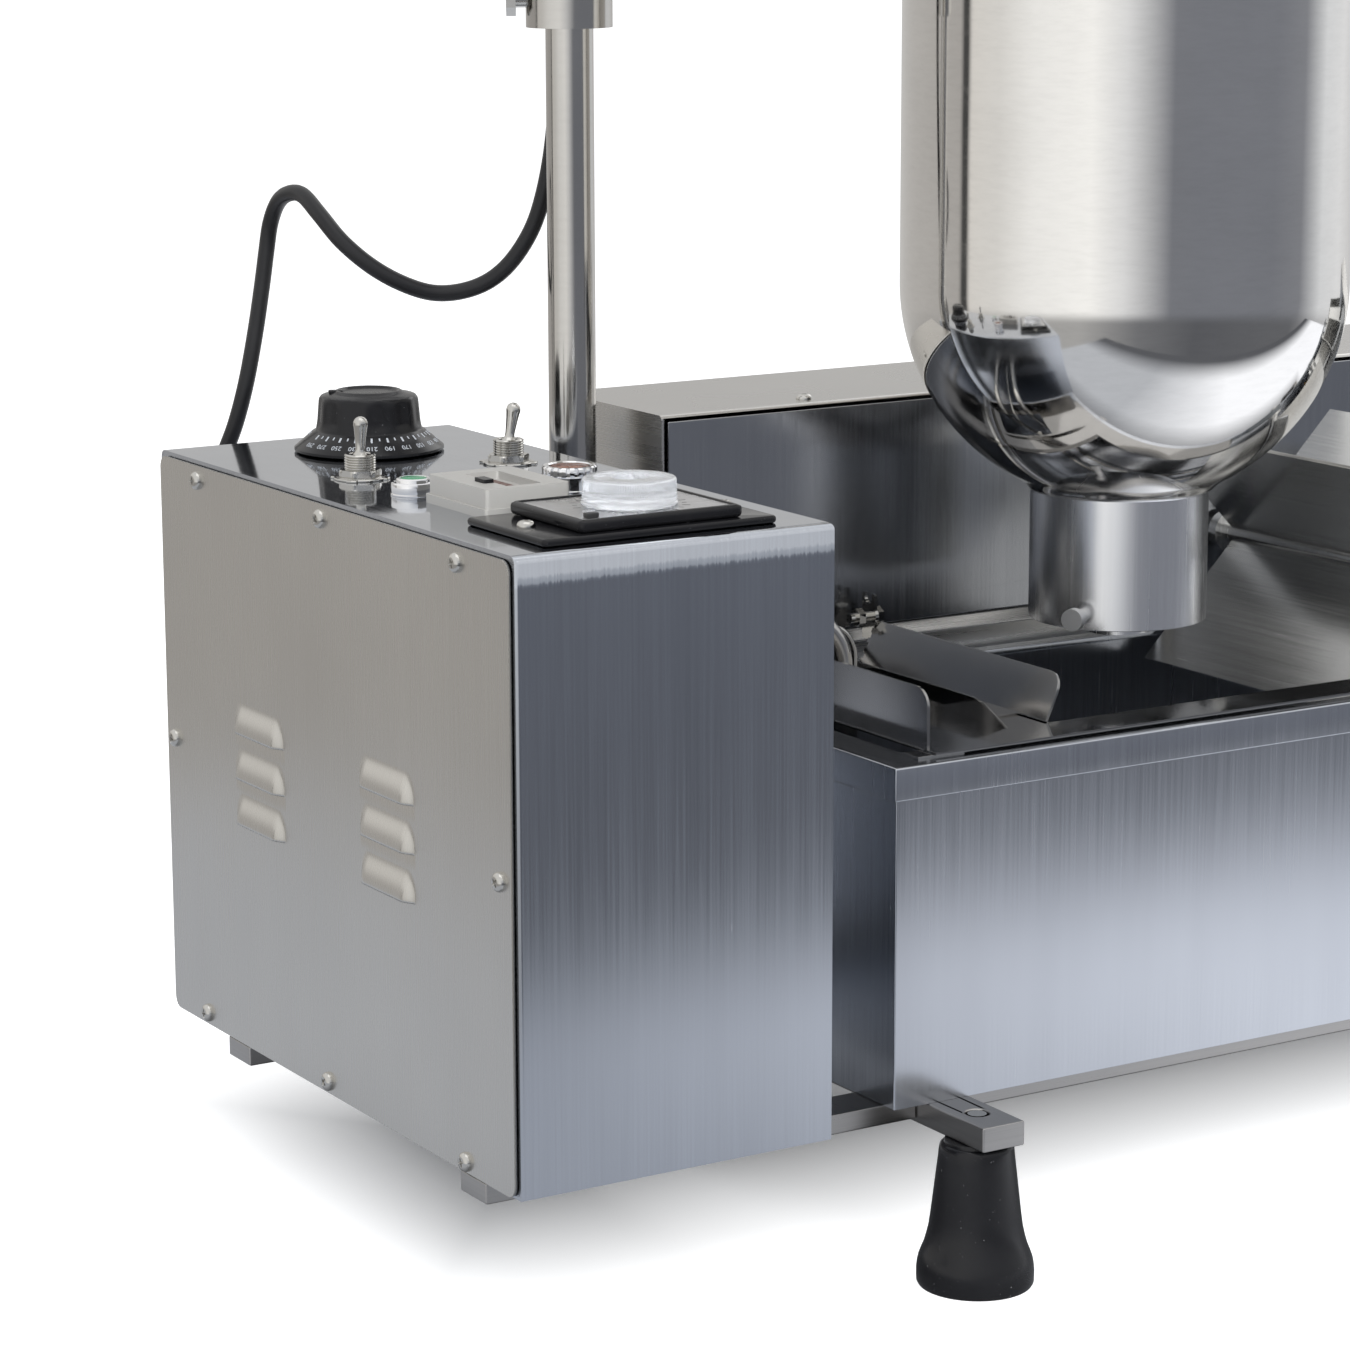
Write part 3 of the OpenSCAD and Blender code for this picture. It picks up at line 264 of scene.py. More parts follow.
# ---------------------------------------------------------------- materials
class Paint:
    """A node tree being built round one Principled BSDF."""

    def __init__(self, name, **values):
        self.mat = bpy.data.materials.new(name)
        self.mat.use_nodes = True
        self.tree = self.mat.node_tree
        self.bsdf = self.tree.nodes["Principled BSDF"]
        for key, value in values.items():
            self.bsdf.inputs[key.replace("_", " ")].default_value = value
        coords = self.tree.nodes.new("ShaderNodeTexCoord")
        self.place = coords.outputs["Object"]
        geometry = self.tree.nodes.new("ShaderNodeNewGeometry")
        self.normal = geometry.outputs["Normal"]

    def node(self, kind, **inputs):
        n = self.tree.nodes.new(kind)
        for key, value in inputs.items():
            self.put(n.inputs[key.replace("_", " ")], value)
        return n

    def put(self, socket, value):
        if isinstance(value, bpy.types.NodeSocket):
            self.tree.links.new(value, socket)
        else:
            socket.default_value = value

    def to(self, key, value):
        self.put(self.bsdf.inputs[key], value)

    def noise(self, scale, detail=3.0, rough=0.6, shift=(0, 0, 0)):
        """Noise whose scale per axis is in cycles per metre."""
        m = self.node("ShaderNodeMapping", Vector=self.place, Scale=scale, Location=shift)
        n = self.node("ShaderNodeTexNoise", Vector=m.outputs[0], Scale=1.0, Detail=detail, Roughness=rough)
        return n.outputs["Fac"]

    def math(self, how, a, b=0.0):
        n = self.node("ShaderNodeMath")
        n.operation = how
        self.put(n.inputs[0], a)
        self.put(n.inputs[1], b)
        return n.outputs[0]

    def remap(self, x, lo, hi, a, b):
        n = self.node("ShaderNodeMapRange", Value=x)
        for key, value in (("From Min", lo), ("From Max", hi), ("To Min", a), ("To Max", b)):
            self.put(n.inputs[key], value)
        return n.outputs[0]

    def mix(self, fac, a, b, how="MIX"):
        n = self.node("ShaderNodeMix")
        n.data_type = "RGBA"
        n.blend_type = how
        self.put(n.inputs["Factor"], fac)
        self.put(n.inputs["A"], a)
        self.put(n.inputs["B"], b)
        return n.outputs["Result"]

    def blend(self, fac, a, b):
        n = self.node("ShaderNodeMix")
        self.put(n.inputs["Factor"], fac)
        self.put(n.inputs["A"], a)
        self.put(n.inputs["B"], b)
        return n.outputs["Result"]

    def axis(self, vector, name):
        n = self.node("ShaderNodeSeparateXYZ", Vector=vector)
        return n.outputs[name]

    def grey(self, value):
        n = self.node("ShaderNodeCombineColor")
        for socket in n.inputs:
            self.put(socket, value)
        return n.outputs[0]

    def leaned(self, normal, band):
        """The normal tipped up in a ragged band near a front face's top, and aside in its left bend."""
        ragged = self.noise((1100, 1100, 60), 2, 0.6, shift=(6, 6, 6))
        z = self.math("ADD", self.axis(self.place, "Z"), self.remap(ragged, 0.3, 0.7, -0.0007, 0.0007))
        front = self.math("GREATER_THAN", self.math("MULTIPLY", self.axis(self.normal, "Y"), -1.0), 0.9)
        amount = self.math("MULTIPLY", self.remap(z, band["low"], band["high"], 0.0, band["tilt"]), front)
        bend = self.remap(self.axis(self.place, "X"), *band["bend"], -0.9, 0.0)
        bend = self.math("MULTIPLY", bend, front)
        up = self.node("ShaderNodeCombineXYZ", X=bend, Z=amount)
        total = self.node("ShaderNodeVectorMath")
        self.put(total.inputs[0], normal)
        self.put(total.inputs[1], up.outputs[0])
        unit = self.node("ShaderNodeVectorMath")
        unit.operation = "NORMALIZE"
        self.put(unit.inputs[0], total.outputs[0])
        return unit.outputs[0]

    def bump(self, height, distance, strength=1.0, band=None):
        n = self.node("ShaderNodeBump", Height=height, Distance=distance, Strength=strength)
        self.to("Normal", self.leaned(n.outputs[0], band) if band else n.outputs[0])


VERTICAL = (1100, 1100, 9)
LEVEL = (9, 9, 1100)
BACKWARD = (1100, 9, 1100)
SIDEWAYS = (9, 1100, 9)


def steel(name, tone, rough, side=VERTICAL, top=BACKWARD, top_rough=None, contrast=0.035, broad=0.02,
          depth=0.000003, smudge=0.04, scratches=0.0, streaks=0.6, buffed=None, **values):
    """Brushed sheet metal. Its grain runs one way on upright faces and another on level ones."""
    p = Paint(name, Metallic=1.0, Anisotropic=streaks, **values)
    facing_up = p.math("GREATER_THAN", p.math("ABSOLUTE", p.axis(p.normal, "Z")), 0.7)
    grain = p.blend(facing_up, p.noise(side, 3), p.noise(top, 3, shift=(3, 5, 7)))
    wide = p.noise(tuple(s * 0.05 + 3 for s in side), 2, 0.5, shift=(1, 9, 4))
    cloud = p.noise((8, 8, 8), 3, 0.55, shift=(2, 2, 2))
    smears = p.noise((42, 42, 16), 4, 0.62, shift=(7, 1, 3))
    shade = p.math("ADD", p.remap(grain, 0.3, 0.7, -contrast, contrast),
                   p.remap(wide, 0.3, 0.7, -broad, broad))
    shade = p.math("ADD", p.math("ADD", shade, p.remap(cloud, 0.3, 0.7, -0.03, 0.03)), 1.0)
    color = p.mix(1.0, (*tone, 1), p.grey(shade), "MULTIPLY")
    if scratches:
        hit = p.remap(p.noise((700, 700, 90), 2, 0.5, shift=(11, 3, 8)), 0.80, 0.84, 0.0, scratches)
        color = p.mix(hit, color, (0.92, 0.93, 0.95, 1))
    p.to("Base Color", color)
    base_rough = p.blend(facing_up, rough, rough if top_rough is None else top_rough)
    wander = p.math("ADD", p.remap(cloud, 0.25, 0.75, -smudge, smudge),
                    p.remap(smears, 0.35, 0.7, -0.01, 0.03))
    grained = p.math("ADD", base_rough, p.remap(grain, 0.3, 0.7, -0.03, 0.03))
    rough_here = p.math("ADD", grained, p.math("MULTIPLY", wander, base_rough))
    p.to("Roughness", p.math("MAXIMUM", rough_here, 0.04))
    across = p.node("ShaderNodeVectorMath")
    across.operation = "CROSS_PRODUCT"
    p.put(across.inputs[0], p.normal)
    p.put(across.inputs[1], (0, 0, 1) if side == VERTICAL else (0.3, 1, 0))
    p.to("Tangent", across.outputs[0])
    p.bump(grain, depth, 1.0, buffed)
    return p.mat


def polished(name, tone, rough, smudge=0.05, wave=0.00008, wave_scale=18, spin=0.0, **values):
    """Mirror-polished metal: faint clouds, wipe marks and a slow unevenness in the sheet."""
    p = Paint(name, Metallic=1.0, **values)
    cloud = p.noise((16, 16, 16), 3, 0.6)
    wipes = p.noise((90, 90, 420), 4, 0.65, shift=(4, 1, 6))
    shade = p.math("ADD", p.remap(cloud, 0.3, 0.7, 0.96, 1.02),
                   p.remap(wipes, 0.4, 0.75, 0.0, -0.03 - spin))
    p.to("Base Color", p.mix(1.0, (*tone, 1), p.grey(shade), "MULTIPLY"))
    p.to("Roughness", p.math("ADD", p.remap(cloud, 0.35, 0.75, rough, rough + smudge),
                             p.remap(wipes, 0.5, 0.8, 0.0, smudge)))
    p.bump(p.noise((wave_scale,) * 3, 2, 0.4, shift=(8, 8, 1)), wave)
    return p.mat


def plastic(name, tone, rough, grain=2600, depth=0.00003, vary=0.10, speckle=0.0, **values):
    """Moulded plastic or rubber with a fine moulded texture and faint handling marks."""
    p = Paint(name, **values)
    cloud = p.noise((24, 24, 24), 3, 0.6)
    color = p.mix(p.remap(cloud, 0.3, 0.7, 0, 1), (*(c * (1 - vary) for c in tone), 1),
                  (*(min(1.0, c * (1 + vary) + 0.003) for c in tone), 1))
    if speckle:
        dust = p.remap(p.noise((800, 800, 800), 2, 0.5, shift=(5, 5, 5)), 0.72, 0.78, 0.0, speckle)
        color = p.mix(dust, color, (0.55, 0.55, 0.57, 1))
    p.to("Base Color", color)
    fine = p.noise((grain, grain, grain), 2, 0.5)
    p.to("Roughness", p.math("ADD", p.remap(cloud, 0.3, 0.7, rough - 0.04, rough + 0.06),
                             p.remap(fine, 0.3, 0.7, -0.02, 0.02)))
    p.bump(fine, depth, 0.6)
    return p.mat


DECK_Z = ORIGIN.z * MM
BOX_TOP = 240.0
# The box's front is buffed along its upper bend: a band that still curves back a little
buffed_band = {"low": DECK_Z + 0.2280, "high": DECK_Z + 0.2325, "tilt": 0.43,
               "bend": (at(2.5, 0, 0)[0], at(3.4, 0, 0)[0])}
box_metal = steel("box_steel", (0.50, 0.525, 0.57), 0.23, top_rough=0.07, scratches=0.5, depth=0.000002,
                  buffed=buffed_band)
cover_metal = steel("cover_steel", (0.60, 0.585, 0.555), 0.26, side=SIDEWAYS, contrast=0.006, broad=0.006,
                    depth=0.0000005, streaks=0.0, smudge=0.05)
tank_metal = steel("tank_steel", (0.50, 0.52, 0.56), 0.24, top_rough=0.2, scratches=0.5, depth=0.0000015)
bar_metal = steel("bar_steel", (0.40, 0.39, 0.38), 0.30, side=LEVEL, contrast=0.06, scratches=0.4)
lid_metal = steel("lid_steel", (0.57, 0.56, 0.54), 0.28, side=LEVEL, top=LEVEL, contrast=0.010, broad=0.008,
                  depth=0.0000005, scratches=0.1, streaks=0.3)
panel_metal = steel("panel_steel", (0.42, 0.43, 0.45), 0.19, contrast=0.012, depth=0.0, streaks=0.3)
guide_metal = steel("guide_steel", (0.34, 0.335, 0.33), 0.12, top_rough=0.08, contrast=0.012, depth=0.0,
                    streaks=0.2)
wheel_metal = steel("wheel_steel", (0.60, 0.60, 0.59), 0.24)
hopper_metal = polished("hopper_steel", (0.80, 0.785, 0.76), 0.035, spin=0.02)
nozzle_metal = steel("nozzle_steel", (0.86, 0.865, 0.88), 0.24, contrast=0.02, depth=0.000001)
mast_metal = polished("mast_steel", (0.56, 0.545, 0.52), 0.11, wave=0.00003, wave_scale=50)
nickel = polished("nickel_plate", (0.54, 0.53, 0.505), 0.08, wave=0.00002, wave_scale=200)
bolt_metal = polished("bolt_zinc", (0.62, 0.62, 0.62), 0.42, wave=0.00004, wave_scale=700)
chrome = polished("chrome_plate", (0.86, 0.86, 0.87), 0.05, wave=0.00002, wave_scale=200)
rubber = plastic("foot_rubber", (0.005, 0.005, 0.006), 0.22, speckle=0.2, Specular_IOR_Level=0.3)
belt_rubber = plastic("belt_rubber", (0.02, 0.02, 0.02), 0.6, 1500)
lead_skin = plastic("lead_sheath", (0.007, 0.007, 0.008), 0.32, 900, Specular_IOR_Level=0.3)
knob_black = plastic("knob_black", (0.006, 0.006, 0.007), 0.20, speckle=0.10, Specular_IOR_Level=0.26)
gloss_black = plastic("timer_black", (0.006, 0.006, 0.007), 0.13, depth=0.000005, speckle=0.20,
                      Specular_IOR_Level=0.22)
print_white = plastic("dial_print", (0.42, 0.44, 0.47), 0.5)
print_black = plastic("scale_print", (0.02, 0.02, 0.02), 0.4)
beige = plastic("counter_beige", (0.40, 0.39, 0.37), 0.40, vary=0.02)
wheel_brown = plastic("counter_wheels", (0.09, 0.045, 0.035), 0.35)
green = plastic("button_green", (0.01, 0.22, 0.09), 0.16, vary=0.06)
amber = plastic("lamp_amber", (0.17, 0.065, 0.035), 0.22, 1500, 0.00015, Coat_Weight=0.4)
grey_plastic = plastic("contactor_grey", (0.55, 0.55, 0.52), 0.45, vary=0.05)
red = plastic("handle_red", (0.45, 0.03, 0.02), 0.35)
brass = steel("valve_brass", (0.74, 0.55, 0.27), 0.28, streaks=0.0)
casting = plastic("casting_grey", (0.13, 0.14, 0.15), 0.5, 900, 0.0001, Metallic=0.3)
clear = plastic("dial_clear", (0.90, 0.92, 0.95), 0.06, vary=0.01, Transmission_Weight=0.82, IOR=1.49)
face_silver = polished("timer_silver", (0.62, 0.62, 0.63), 0.20, smudge=0.2, wave=0.0004, wave_scale=260)
LOOKS = {
    "box_shell": box_metal, "oil_tank": tank_metal,
    "crossbar_left": bar_metal, "crossbar_right": bar_metal, "rail_front": bar_metal, "rail_rear": bar_metal,
    "drive_housing": lid_metal, "drive_lid": lid_metal, "housing_posts": lid_metal,
    "drive_panel": panel_metal, "guide_sheet": guide_metal, "guide_trough": guide_metal,
    "feed_wheel": wheel_metal, "turner_wheel": wheel_metal, "push_wheel": wheel_metal,
    "ejector_wheel": wheel_metal, "discharge_chute": tank_metal, "arm_cover": lid_metal,
    "mould_sleeve": nozzle_metal, "plunger": nozzle_metal, "mast": mast_metal,
    "arm_base": mast_metal, "heating_element": mast_metal, "thermostat_bulb": nickel,
    "crank_disc": wheel_metal,
    "foot_studs": nickel, "cover_screws": nickel, "timer_screws": nickel,
    "drive_screws": nickel, "guide_bolt": nickel, "hub_bolt": nickel, "nozzle_bolt": bolt_metal,
    "drive_belts": belt_rubber, "counter_reset": knob_black,
    "cable_gland": knob_black, "mains_gland": knob_black, "head_gland": knob_black,
    "thermostat_body": knob_black, "counter_case": beige,
    "contactor": grey_plastic, "drain_valve": brass, "drain_handle": red,
    "gear_motor": casting, "head_motor": casting, "wheel_bearings": casting,
}
# CAD nodes whose sharp edges get a small round: width in millimetres
ROUNDED = {
    "box_shell": 0.7, "oil_tank": 0.6, "drive_lid": 0.5, "drive_housing": 0.4, "drive_panel": 0.5,
    "crossbar_left": 0.8, "crossbar_right": 0.8, "rail_front": 0.8, "rail_rear": 0.8, "counter_case": 0.6,
    "guide_sheet": 0.2, "guide_trough": 0.2, "arm_cover": 0.4, "arm_base": 0.6, "contactor": 0.8,
    "housing_posts": 0.6, "drain_handle": 0.8, "discharge_chute": 0.25, "head_motor": 0.8, "gear_motor": 0.8,
    "counter_reset": 0.4, "feed_wheel": 0.2, "push_wheel": 0.2, "turner_wheel": 0.2, "ejector_wheel": 0.2,
}


def dress(name, mat):
    obj = nodes[name]
    if not obj.material_slots:
        obj.data.materials.append(mat)
    for s in obj.material_slots:
        s.material = mat
    soften(obj, 32)
    if name in ROUNDED:
        weld = obj.modifiers.new("weld", "WELD")
        weld.merge_threshold = 0.00002
        bevel = obj.modifiers.new("bevel", "BEVEL")
        bevel.width = ROUNDED[name] * MM
        bevel.segments = 2
        bevel.limit_method = "ANGLE"
        bevel.angle_limit = math.radians(50)
        even_shading(obj)


for node_name, look in LOOKS.items():
    dress(node_name, look)

# ---------------------------------------------------------------- motor lead
LEAD = [
    (40, 313, 176), (40, 322, 176), (41, 334.5, 179), (42.5, 343.5, 187.5), (44.5, 347.5, 200),
    (47, 346.5, 214), (50, 342.5, 228), (54, 338.5, 242), (59, 337.5, 259.5), (66, 342, 280),
    (73, 349, 298.5), (78, 354, 313.5), (80, 353.5, 325.5), (80.5, 346.5, 335), (81, 336.5, 339.5),
    (82, 325.5, 339.5), (82.5, 311, 332.5), (86, 297.5, 322), (95, 289, 312), (106.5, 283.5, 304.5),
    (119, 279, 300), (130.5, 273.5, 300.5), (141, 268, 305), (149, 262, 314), (156, 257, 328),
    (161, 255, 345), (165, 255, 365), (168, 256, 390), (171, 256, 420), (173, 256.4, 450),
    (173.3, 256.8, 475), (173.3, 256.8, 494.8)]
LEAD_D = 7.0
lead_path = smooth_path([at(*p) for p in LEAD], 6)
lead = make("lead", tube(lead_path, LEAD_D / 2 * MM, 20), lead_skin, 40)
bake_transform(lead)
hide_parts("motor_lead")


# ---------------------------------------------------------------- control box
# In millimetres from the box's corner, as the cover's plate, its louvres and its screws stand
COVER_Y, COVER_Z, COVER_CORNER, COVER_SHEET = (2.0, 298.0), (0.3, 238.0), 5.0, 1.1
LOUVRE_W, LOUVRE_H, LOUVRE_OUT = 46.0, 12.5, 3.05
LOUVRE_Y, LOUVRE_Z = (75.5, 186.0), (95.5, 114.5, 133.5)
LOUVRE_STEPS, LOUVRE_ROWS = 46, 14
COVER_FIX = [(39, 4.5), (153, 5.2), (265, 5.2), (10.3, 119), (290, 119), (40, 232), (150, 232.3), (262, 232)]


def louvre_bulge(u, v):
    """How far a louvre stands out, u along its mouth from one end and v up from the mouth."""
    end = max(0.0, 1 - min(u, LOUVRE_W - u) / 8.0)
    q = math.sqrt((v / LOUVRE_H) ** 2 + end ** 2)
    return LOUVRE_OUT * (1 - min(q, 1.0) ** 2) ** 1.6


def side_cover():
    """The loose left cover: a plate with round corners and six pressed louvres with open mouths."""
    verts, faces = [], []

    def vert(y, z, out=0.0):
        verts.append(Vector(at(-out, y, z)))
        return len(verts) - 1

    def flat(points):
        faces.append(tuple(vert(y, z) for y, z in points))

    def corner(y, z, start):
        cy = y + (COVER_CORNER if y < 100 else -COVER_CORNER)
        cz = z + (COVER_CORNER if z < 100 else -COVER_CORNER)
        return arc(cy, cz, COVER_CORNER, start, start + 90, 6)

    zs = []
    for low in LOUVRE_Z:
        zs += [low + LOUVRE_H * k / LOUVRE_ROWS for k in range(LOUVRE_ROWS + 1)]
    edges = [COVER_Y[0], *(e for y in LOUVRE_Y for e in (y, y + LOUVRE_W)), COVER_Y[1]]
    left, right = zs, list(reversed(zs))
    flat([(edges[1], COVER_Z[0]), *((edges[1], z) for z in left), (edges[1], COVER_Z[1]),
          *corner(COVER_Y[0], COVER_Z[1], 90), *corner(COVER_Y[0], COVER_Z[0], 180)])
    flat([(edges[3], COVER_Z[0]), *((edges[3], z) for z in left), (edges[3], COVER_Z[1]),
          (edges[2], COVER_Z[1]), *((edges[2], z) for z in right), (edges[2], COVER_Z[0])])
    flat([(edges[4], COVER_Z[1]), *((edges[4], z) for z in right), (edges[4], COVER_Z[0]),
          *corner(COVER_Y[1], COVER_Z[0], 270), *corner(COVER_Y[1], COVER_Z[1], 0)])
    for y0 in LOUVRE_Y:
        us = [LOUVRE_W * k / LOUVRE_STEPS for k in range(LOUVRE_STEPS + 1)]
        for low, high in ((COVER_Z[0], zs[0]), (zs[-1], COVER_Z[1])):
            lows = us if low == zs[-1] else [0, LOUVRE_W]
            highs = us if high == zs[0] else [0, LOUVRE_W]
            flat([*((y0 + u, low) for u in lows), *((y0 + u, high) for u in reversed(highs))])
        for i, low in enumerate(LOUVRE_Z):
            vs = [LOUVRE_H * k / LOUVRE_ROWS for k in range(LOUVRE_ROWS + 1)]
            grid = [[vert(y0 + u, low + v, louvre_bulge(u, v)) for u in us] for v in vs]
            for a, b in zip(grid, grid[1:]):
                faces.extend((a[s], a[s + 1], b[s + 1], b[s]) for s in range(LOUVRE_STEPS))
            if i + 1 < len(LOUVRE_Z):
                above = [vert(y0 + u, LOUVRE_Z[i + 1]) for u in us]
                top = grid[-1]
                faces.extend((top[s], top[s + 1], above[s + 1], above[s]) for s in range(LOUVRE_STEPS))
    obj = piece("side_cover", (verts, faces), cover_metal, "base", ["box_side_cover"], 50)
    if obj.data.polygons[0].normal.x > 0:
        obj.data.flip_normals()
    solid = obj.modifiers.new("sheet", "SOLIDIFY")
    solid.thickness = COVER_SHEET * MM
    solid.offset = -1
    even_shading(obj)


def cover_return():
    """The shell's edge folded in behind the cover, a frame that closes the gap round it."""
    rings = [((1.0, 1.0), (299.0, 239.0)), ((14.0, 14.0), (286.0, 226.0))]
    verts = [at(x, y, z) for x in (1.65, 2.85) for (y0, z0), (y1, z1) in rings
             for y, z in ((y0, z0), (y1, z0), (y1, z1), (y0, z1))]
    faces = []
    for k in range(4):
        n = (k + 1) % 4
        for a, b in ((0, 4), (4, 12), (12, 8), (8, 0)):
            faces.append((a + k, a + n, b + n, b + k))
    piece("box_return", (verts, faces), box_metal, "base")


TIMER_FIX = [(28, 38), (113, 38)]
LID_FIX = [(258, 203.5), (476.67, 203.5), (695.33, 203.5), (914, 203.5)]
LID_TOP = 253


def screw_head(place, r, h):
    """A pan head with a cross recess."""
    outline = [(0, -0.2), (r, -0.2), (r, 0.18 * h), (0.97 * r, 0.45 * h), (0.86 * r, 0.72 * h),
               (0.70 * r, 0.92 * h), (0.58 * r, 0.985 * h), (0.55 * r, h), (0.52 * r, h - 0.01),
               (0.40 * r, 0.52 * h), (0.1 * r, 0.4 * h), (0, 0.38 * h)]

    def recess(a, radius, z):
        if radius > 0.53 * r or radius < 0.05 * r or z < 0.3 * h:
            return radius
        return radius * (0.34 + 0.66 * abs(math.cos(2 * a)) ** 1.8)

    return spun(outline, 64, place, recess)


def screws():
    """The pan heads on the side cover, the timer and the drive lid, each turned its own way."""
    for name, spots, z in (("timer", TIMER_FIX, BOX_TOP + 3), ("drive", LID_FIX, LID_TOP)):
        tops = [screw_head(stand(x, y, z, turned(15 + 31 * k, "Z")), 3.5, 2.2)
                for k, (x, y) in enumerate(spots)]
        piece(f"{name}_screw_heads", join(*tops), nickel, "base", [f"{name}_screws"], 38)
    heads = []
    for k, (y, z) in enumerate(COVER_FIX):
        lie = turned(-90, "Y") @ turned(20 + 37 * k, "Z")
        heads.append(screw_head(stand(0, y, z, lie), 3.8, 2.4))
    piece("cover_screw_heads", join(*heads), nickel, "base", ["cover_screws"], 38)


# Places are (x, y) in millimetres from the box's corner
KNOB = (74.0, 252.0)


def thermostat():
    """Fluted cap on a conical skirt that carries the scale."""
    low = BOX_TOP + 0.3
    place = stand(*KNOB, low)

    def fluted(a, r, z):
        if not 10 < z < 22.6 or r < 15:
            return r
        fade = min(1.0, (z - 10) / 1.5, (22.9 - z) / 2.0)
        return r - 0.62 * fade * (0.5 - 0.5 * math.cos(12 * a)) ** 0.8

    profile = [(0, 0), (30.4, 0), (31, 0.5), (31, 1.5), (30.3, 2.1), (23.3, 8.1), (22.3, 8.5), (22.1, 8.7),
               (21.9, 9.4), (21.7, 10.4), (21.5, 11.5), (21.3, 13), (21.05, 16), (20.8, 19), (20.6, 21),
               (20.3, 21.9), (19.7, 22.6), (18.9, 22.95), (16, 23.6), (14.1, 24.2), (13.5, 24.7),
               (12.9, 24.85), (12.2, 24.7), (11.6, 24.0), (10.9, 23.8), (0, 23.8)]
    cap = spun(profile, 288, place, fluted)
    pointer = chamfered((-16.5, -1.5, 23.5), (-10.5, 1.5, 24.95), 0.5,
                        place @ turned(-25, "Z"))
    piece("knob_cap", join(cap, pointer), knob_black, "knob", ["thermostat_knob"], 40)
    slope = math.atan2(6.0, 7.0)
    marks = []

    def on_skirt(angle, r):
        """A frame on the cone: +Y runs outwards and down, +Z stands off it."""
        drop = (30.3 - r) * math.tan(slope) + 2.1
        turn = Matrix.Rotation(math.radians(angle) - math.pi / 2, 4, "Z")
        spot = Matrix.Translation(Vector((0, r, drop)) * MM)
        return place @ turn @ spot @ Matrix.Rotation(-slope, 4, "X")

    def scale_angle(value):
        """Where a temperature stands on the skirt: 7.75 degrees for every 10, with 178 in front."""
        return -90 + (178 - value) / 10 * 7.75

    for k in range(44):
        long = k % 2 == 0
        m = on_skirt(scale_angle(290 - 10 * k), 24.4)
        half = 0.42 if long else 0.28
        marks.append(chamfered((-half, -0.9, -0.05), (half, 1.5 if long else 0.6, 0.12), 0.03, m))
    piece("knob_ticks", join(*marks), print_white, "knob")
    for value in range(50, 300, 20):
        curve = bpy.data.curves.new(f"digits_{value}", "FONT")
        curve.body = str(value)
        curve.size = 3.1 * MM
        curve.align_x = "CENTER"
        curve.align_y = "CENTER"
        curve.extrude = 0.06 * MM
        text = bpy.data.objects.new(f"digits_{value}", curve)
        scene.collection.objects.link(text)
        mesh = bpy.data.meshes.new_from_object(text)
        bpy.data.objects.remove(text)
        m = on_skirt(scale_angle(value), 27.9)
        verts = [m @ v.co for v in mesh.vertices]
        faces = [tuple(f.vertices) for f in mesh.polygons]
        piece(f"knob_number_{value}", (verts, faces), print_white, "knob", smooth=None)
        bpy.data.meshes.remove(mesh)


def hexagon(flats):
    """Radius by angle of a hexagon as wide as flats, cut back to the profile's radius."""
    def radius(a, r, z):
        wrapped = (a + math.pi / 6) % (math.pi / 3) - math.pi / 6
        return min(flats / 2 / math.cos(wrapped), r)
    return radius


# Each toggle's place, its lever's lean about X and Y in degrees, and its body
TOGGLES = [((36, 186), 0, 2, "left_lever"), ((105, 189), -3, 12, "right_lever")]


def toggles():
    """Threaded bush with its nut and tabbed washer, and the lever on its ball."""
    hardware = []
    for (x, y), lean_x, lean_y, body in TOGGLES:
        place = stand(x, y, BOX_TOP)

        def tabbed(a, r, z):
            return r + (1.3 if r > 10 and abs((a / (math.pi / 2)) % 1 - 0.5) < 0.13 else 0)

        washer = [(6.3, 0.02), (10.4, 0.02), (10.6, 0.2), (10.6, 0.7), (10.4, 0.9), (6.3, 0.9)]
        threads = [(6.3, 0.9), (6.0, 3.9)]
        for k in range(6):
            threads += [(5.85, 4.05 + k), (6.3, 4.45 + k), (6.3, 4.65 + k)]
        threads += [(5.7, 10.1), (4.4, 10.1), (3.95, 9.7), (3.9, 5.0), (0, 5.0)]
        nut = [(6.0, 0.9), (8.3, 0.92), (8.66, 1.3), (8.66, 3.3), (7.9, 3.9), (7.0, 3.95), (6.0, 3.8)]
        hardware.append(spun(washer, 144, place, tabbed))
        hardware.append(spun(threads, 72, place))
        hardware.append(spun(nut, 96, place @ Matrix.Rotation(0.26, 4, "Z"), hexagon(15)))
        hardware.append(chamfered((-7, -14, -23.2), (7, 14, -1.4), 0.8, place))
        for k in (-1, 0, 1):
            hardware.append(chamfered((-3, k * 9 - 0.4, -31), (3, k * 9 + 0.4, -23), 0.15, place))
        lean = turned(lean_y, "Y") @ turned(lean_x, "X")
        bat = arc(0, 0, 3.2, -90, 45, 10) + [(1.95, 3.0), (1.9, 4.5), (2.1, 7), (2.45, 10.5), (2.72, 12.6),
                                             (2.9, 13.4)] + arc(0, 14.0, 2.9, 5, 90, 8)
        bat[0], bat[-1] = (0, -3.2), (0, 16.9)
        side = body.split("_")[0]
        piece(f"toggle_bat_{side}", spun(bat, 48, stand(x, y, BOX_TOP + 8, lean)), nickel, body,
              [f"toggle_lever_{side}"], 40)
    piece("toggle_hardware", join(*hardware), nickel, "base", ["toggle_switches"], 30)


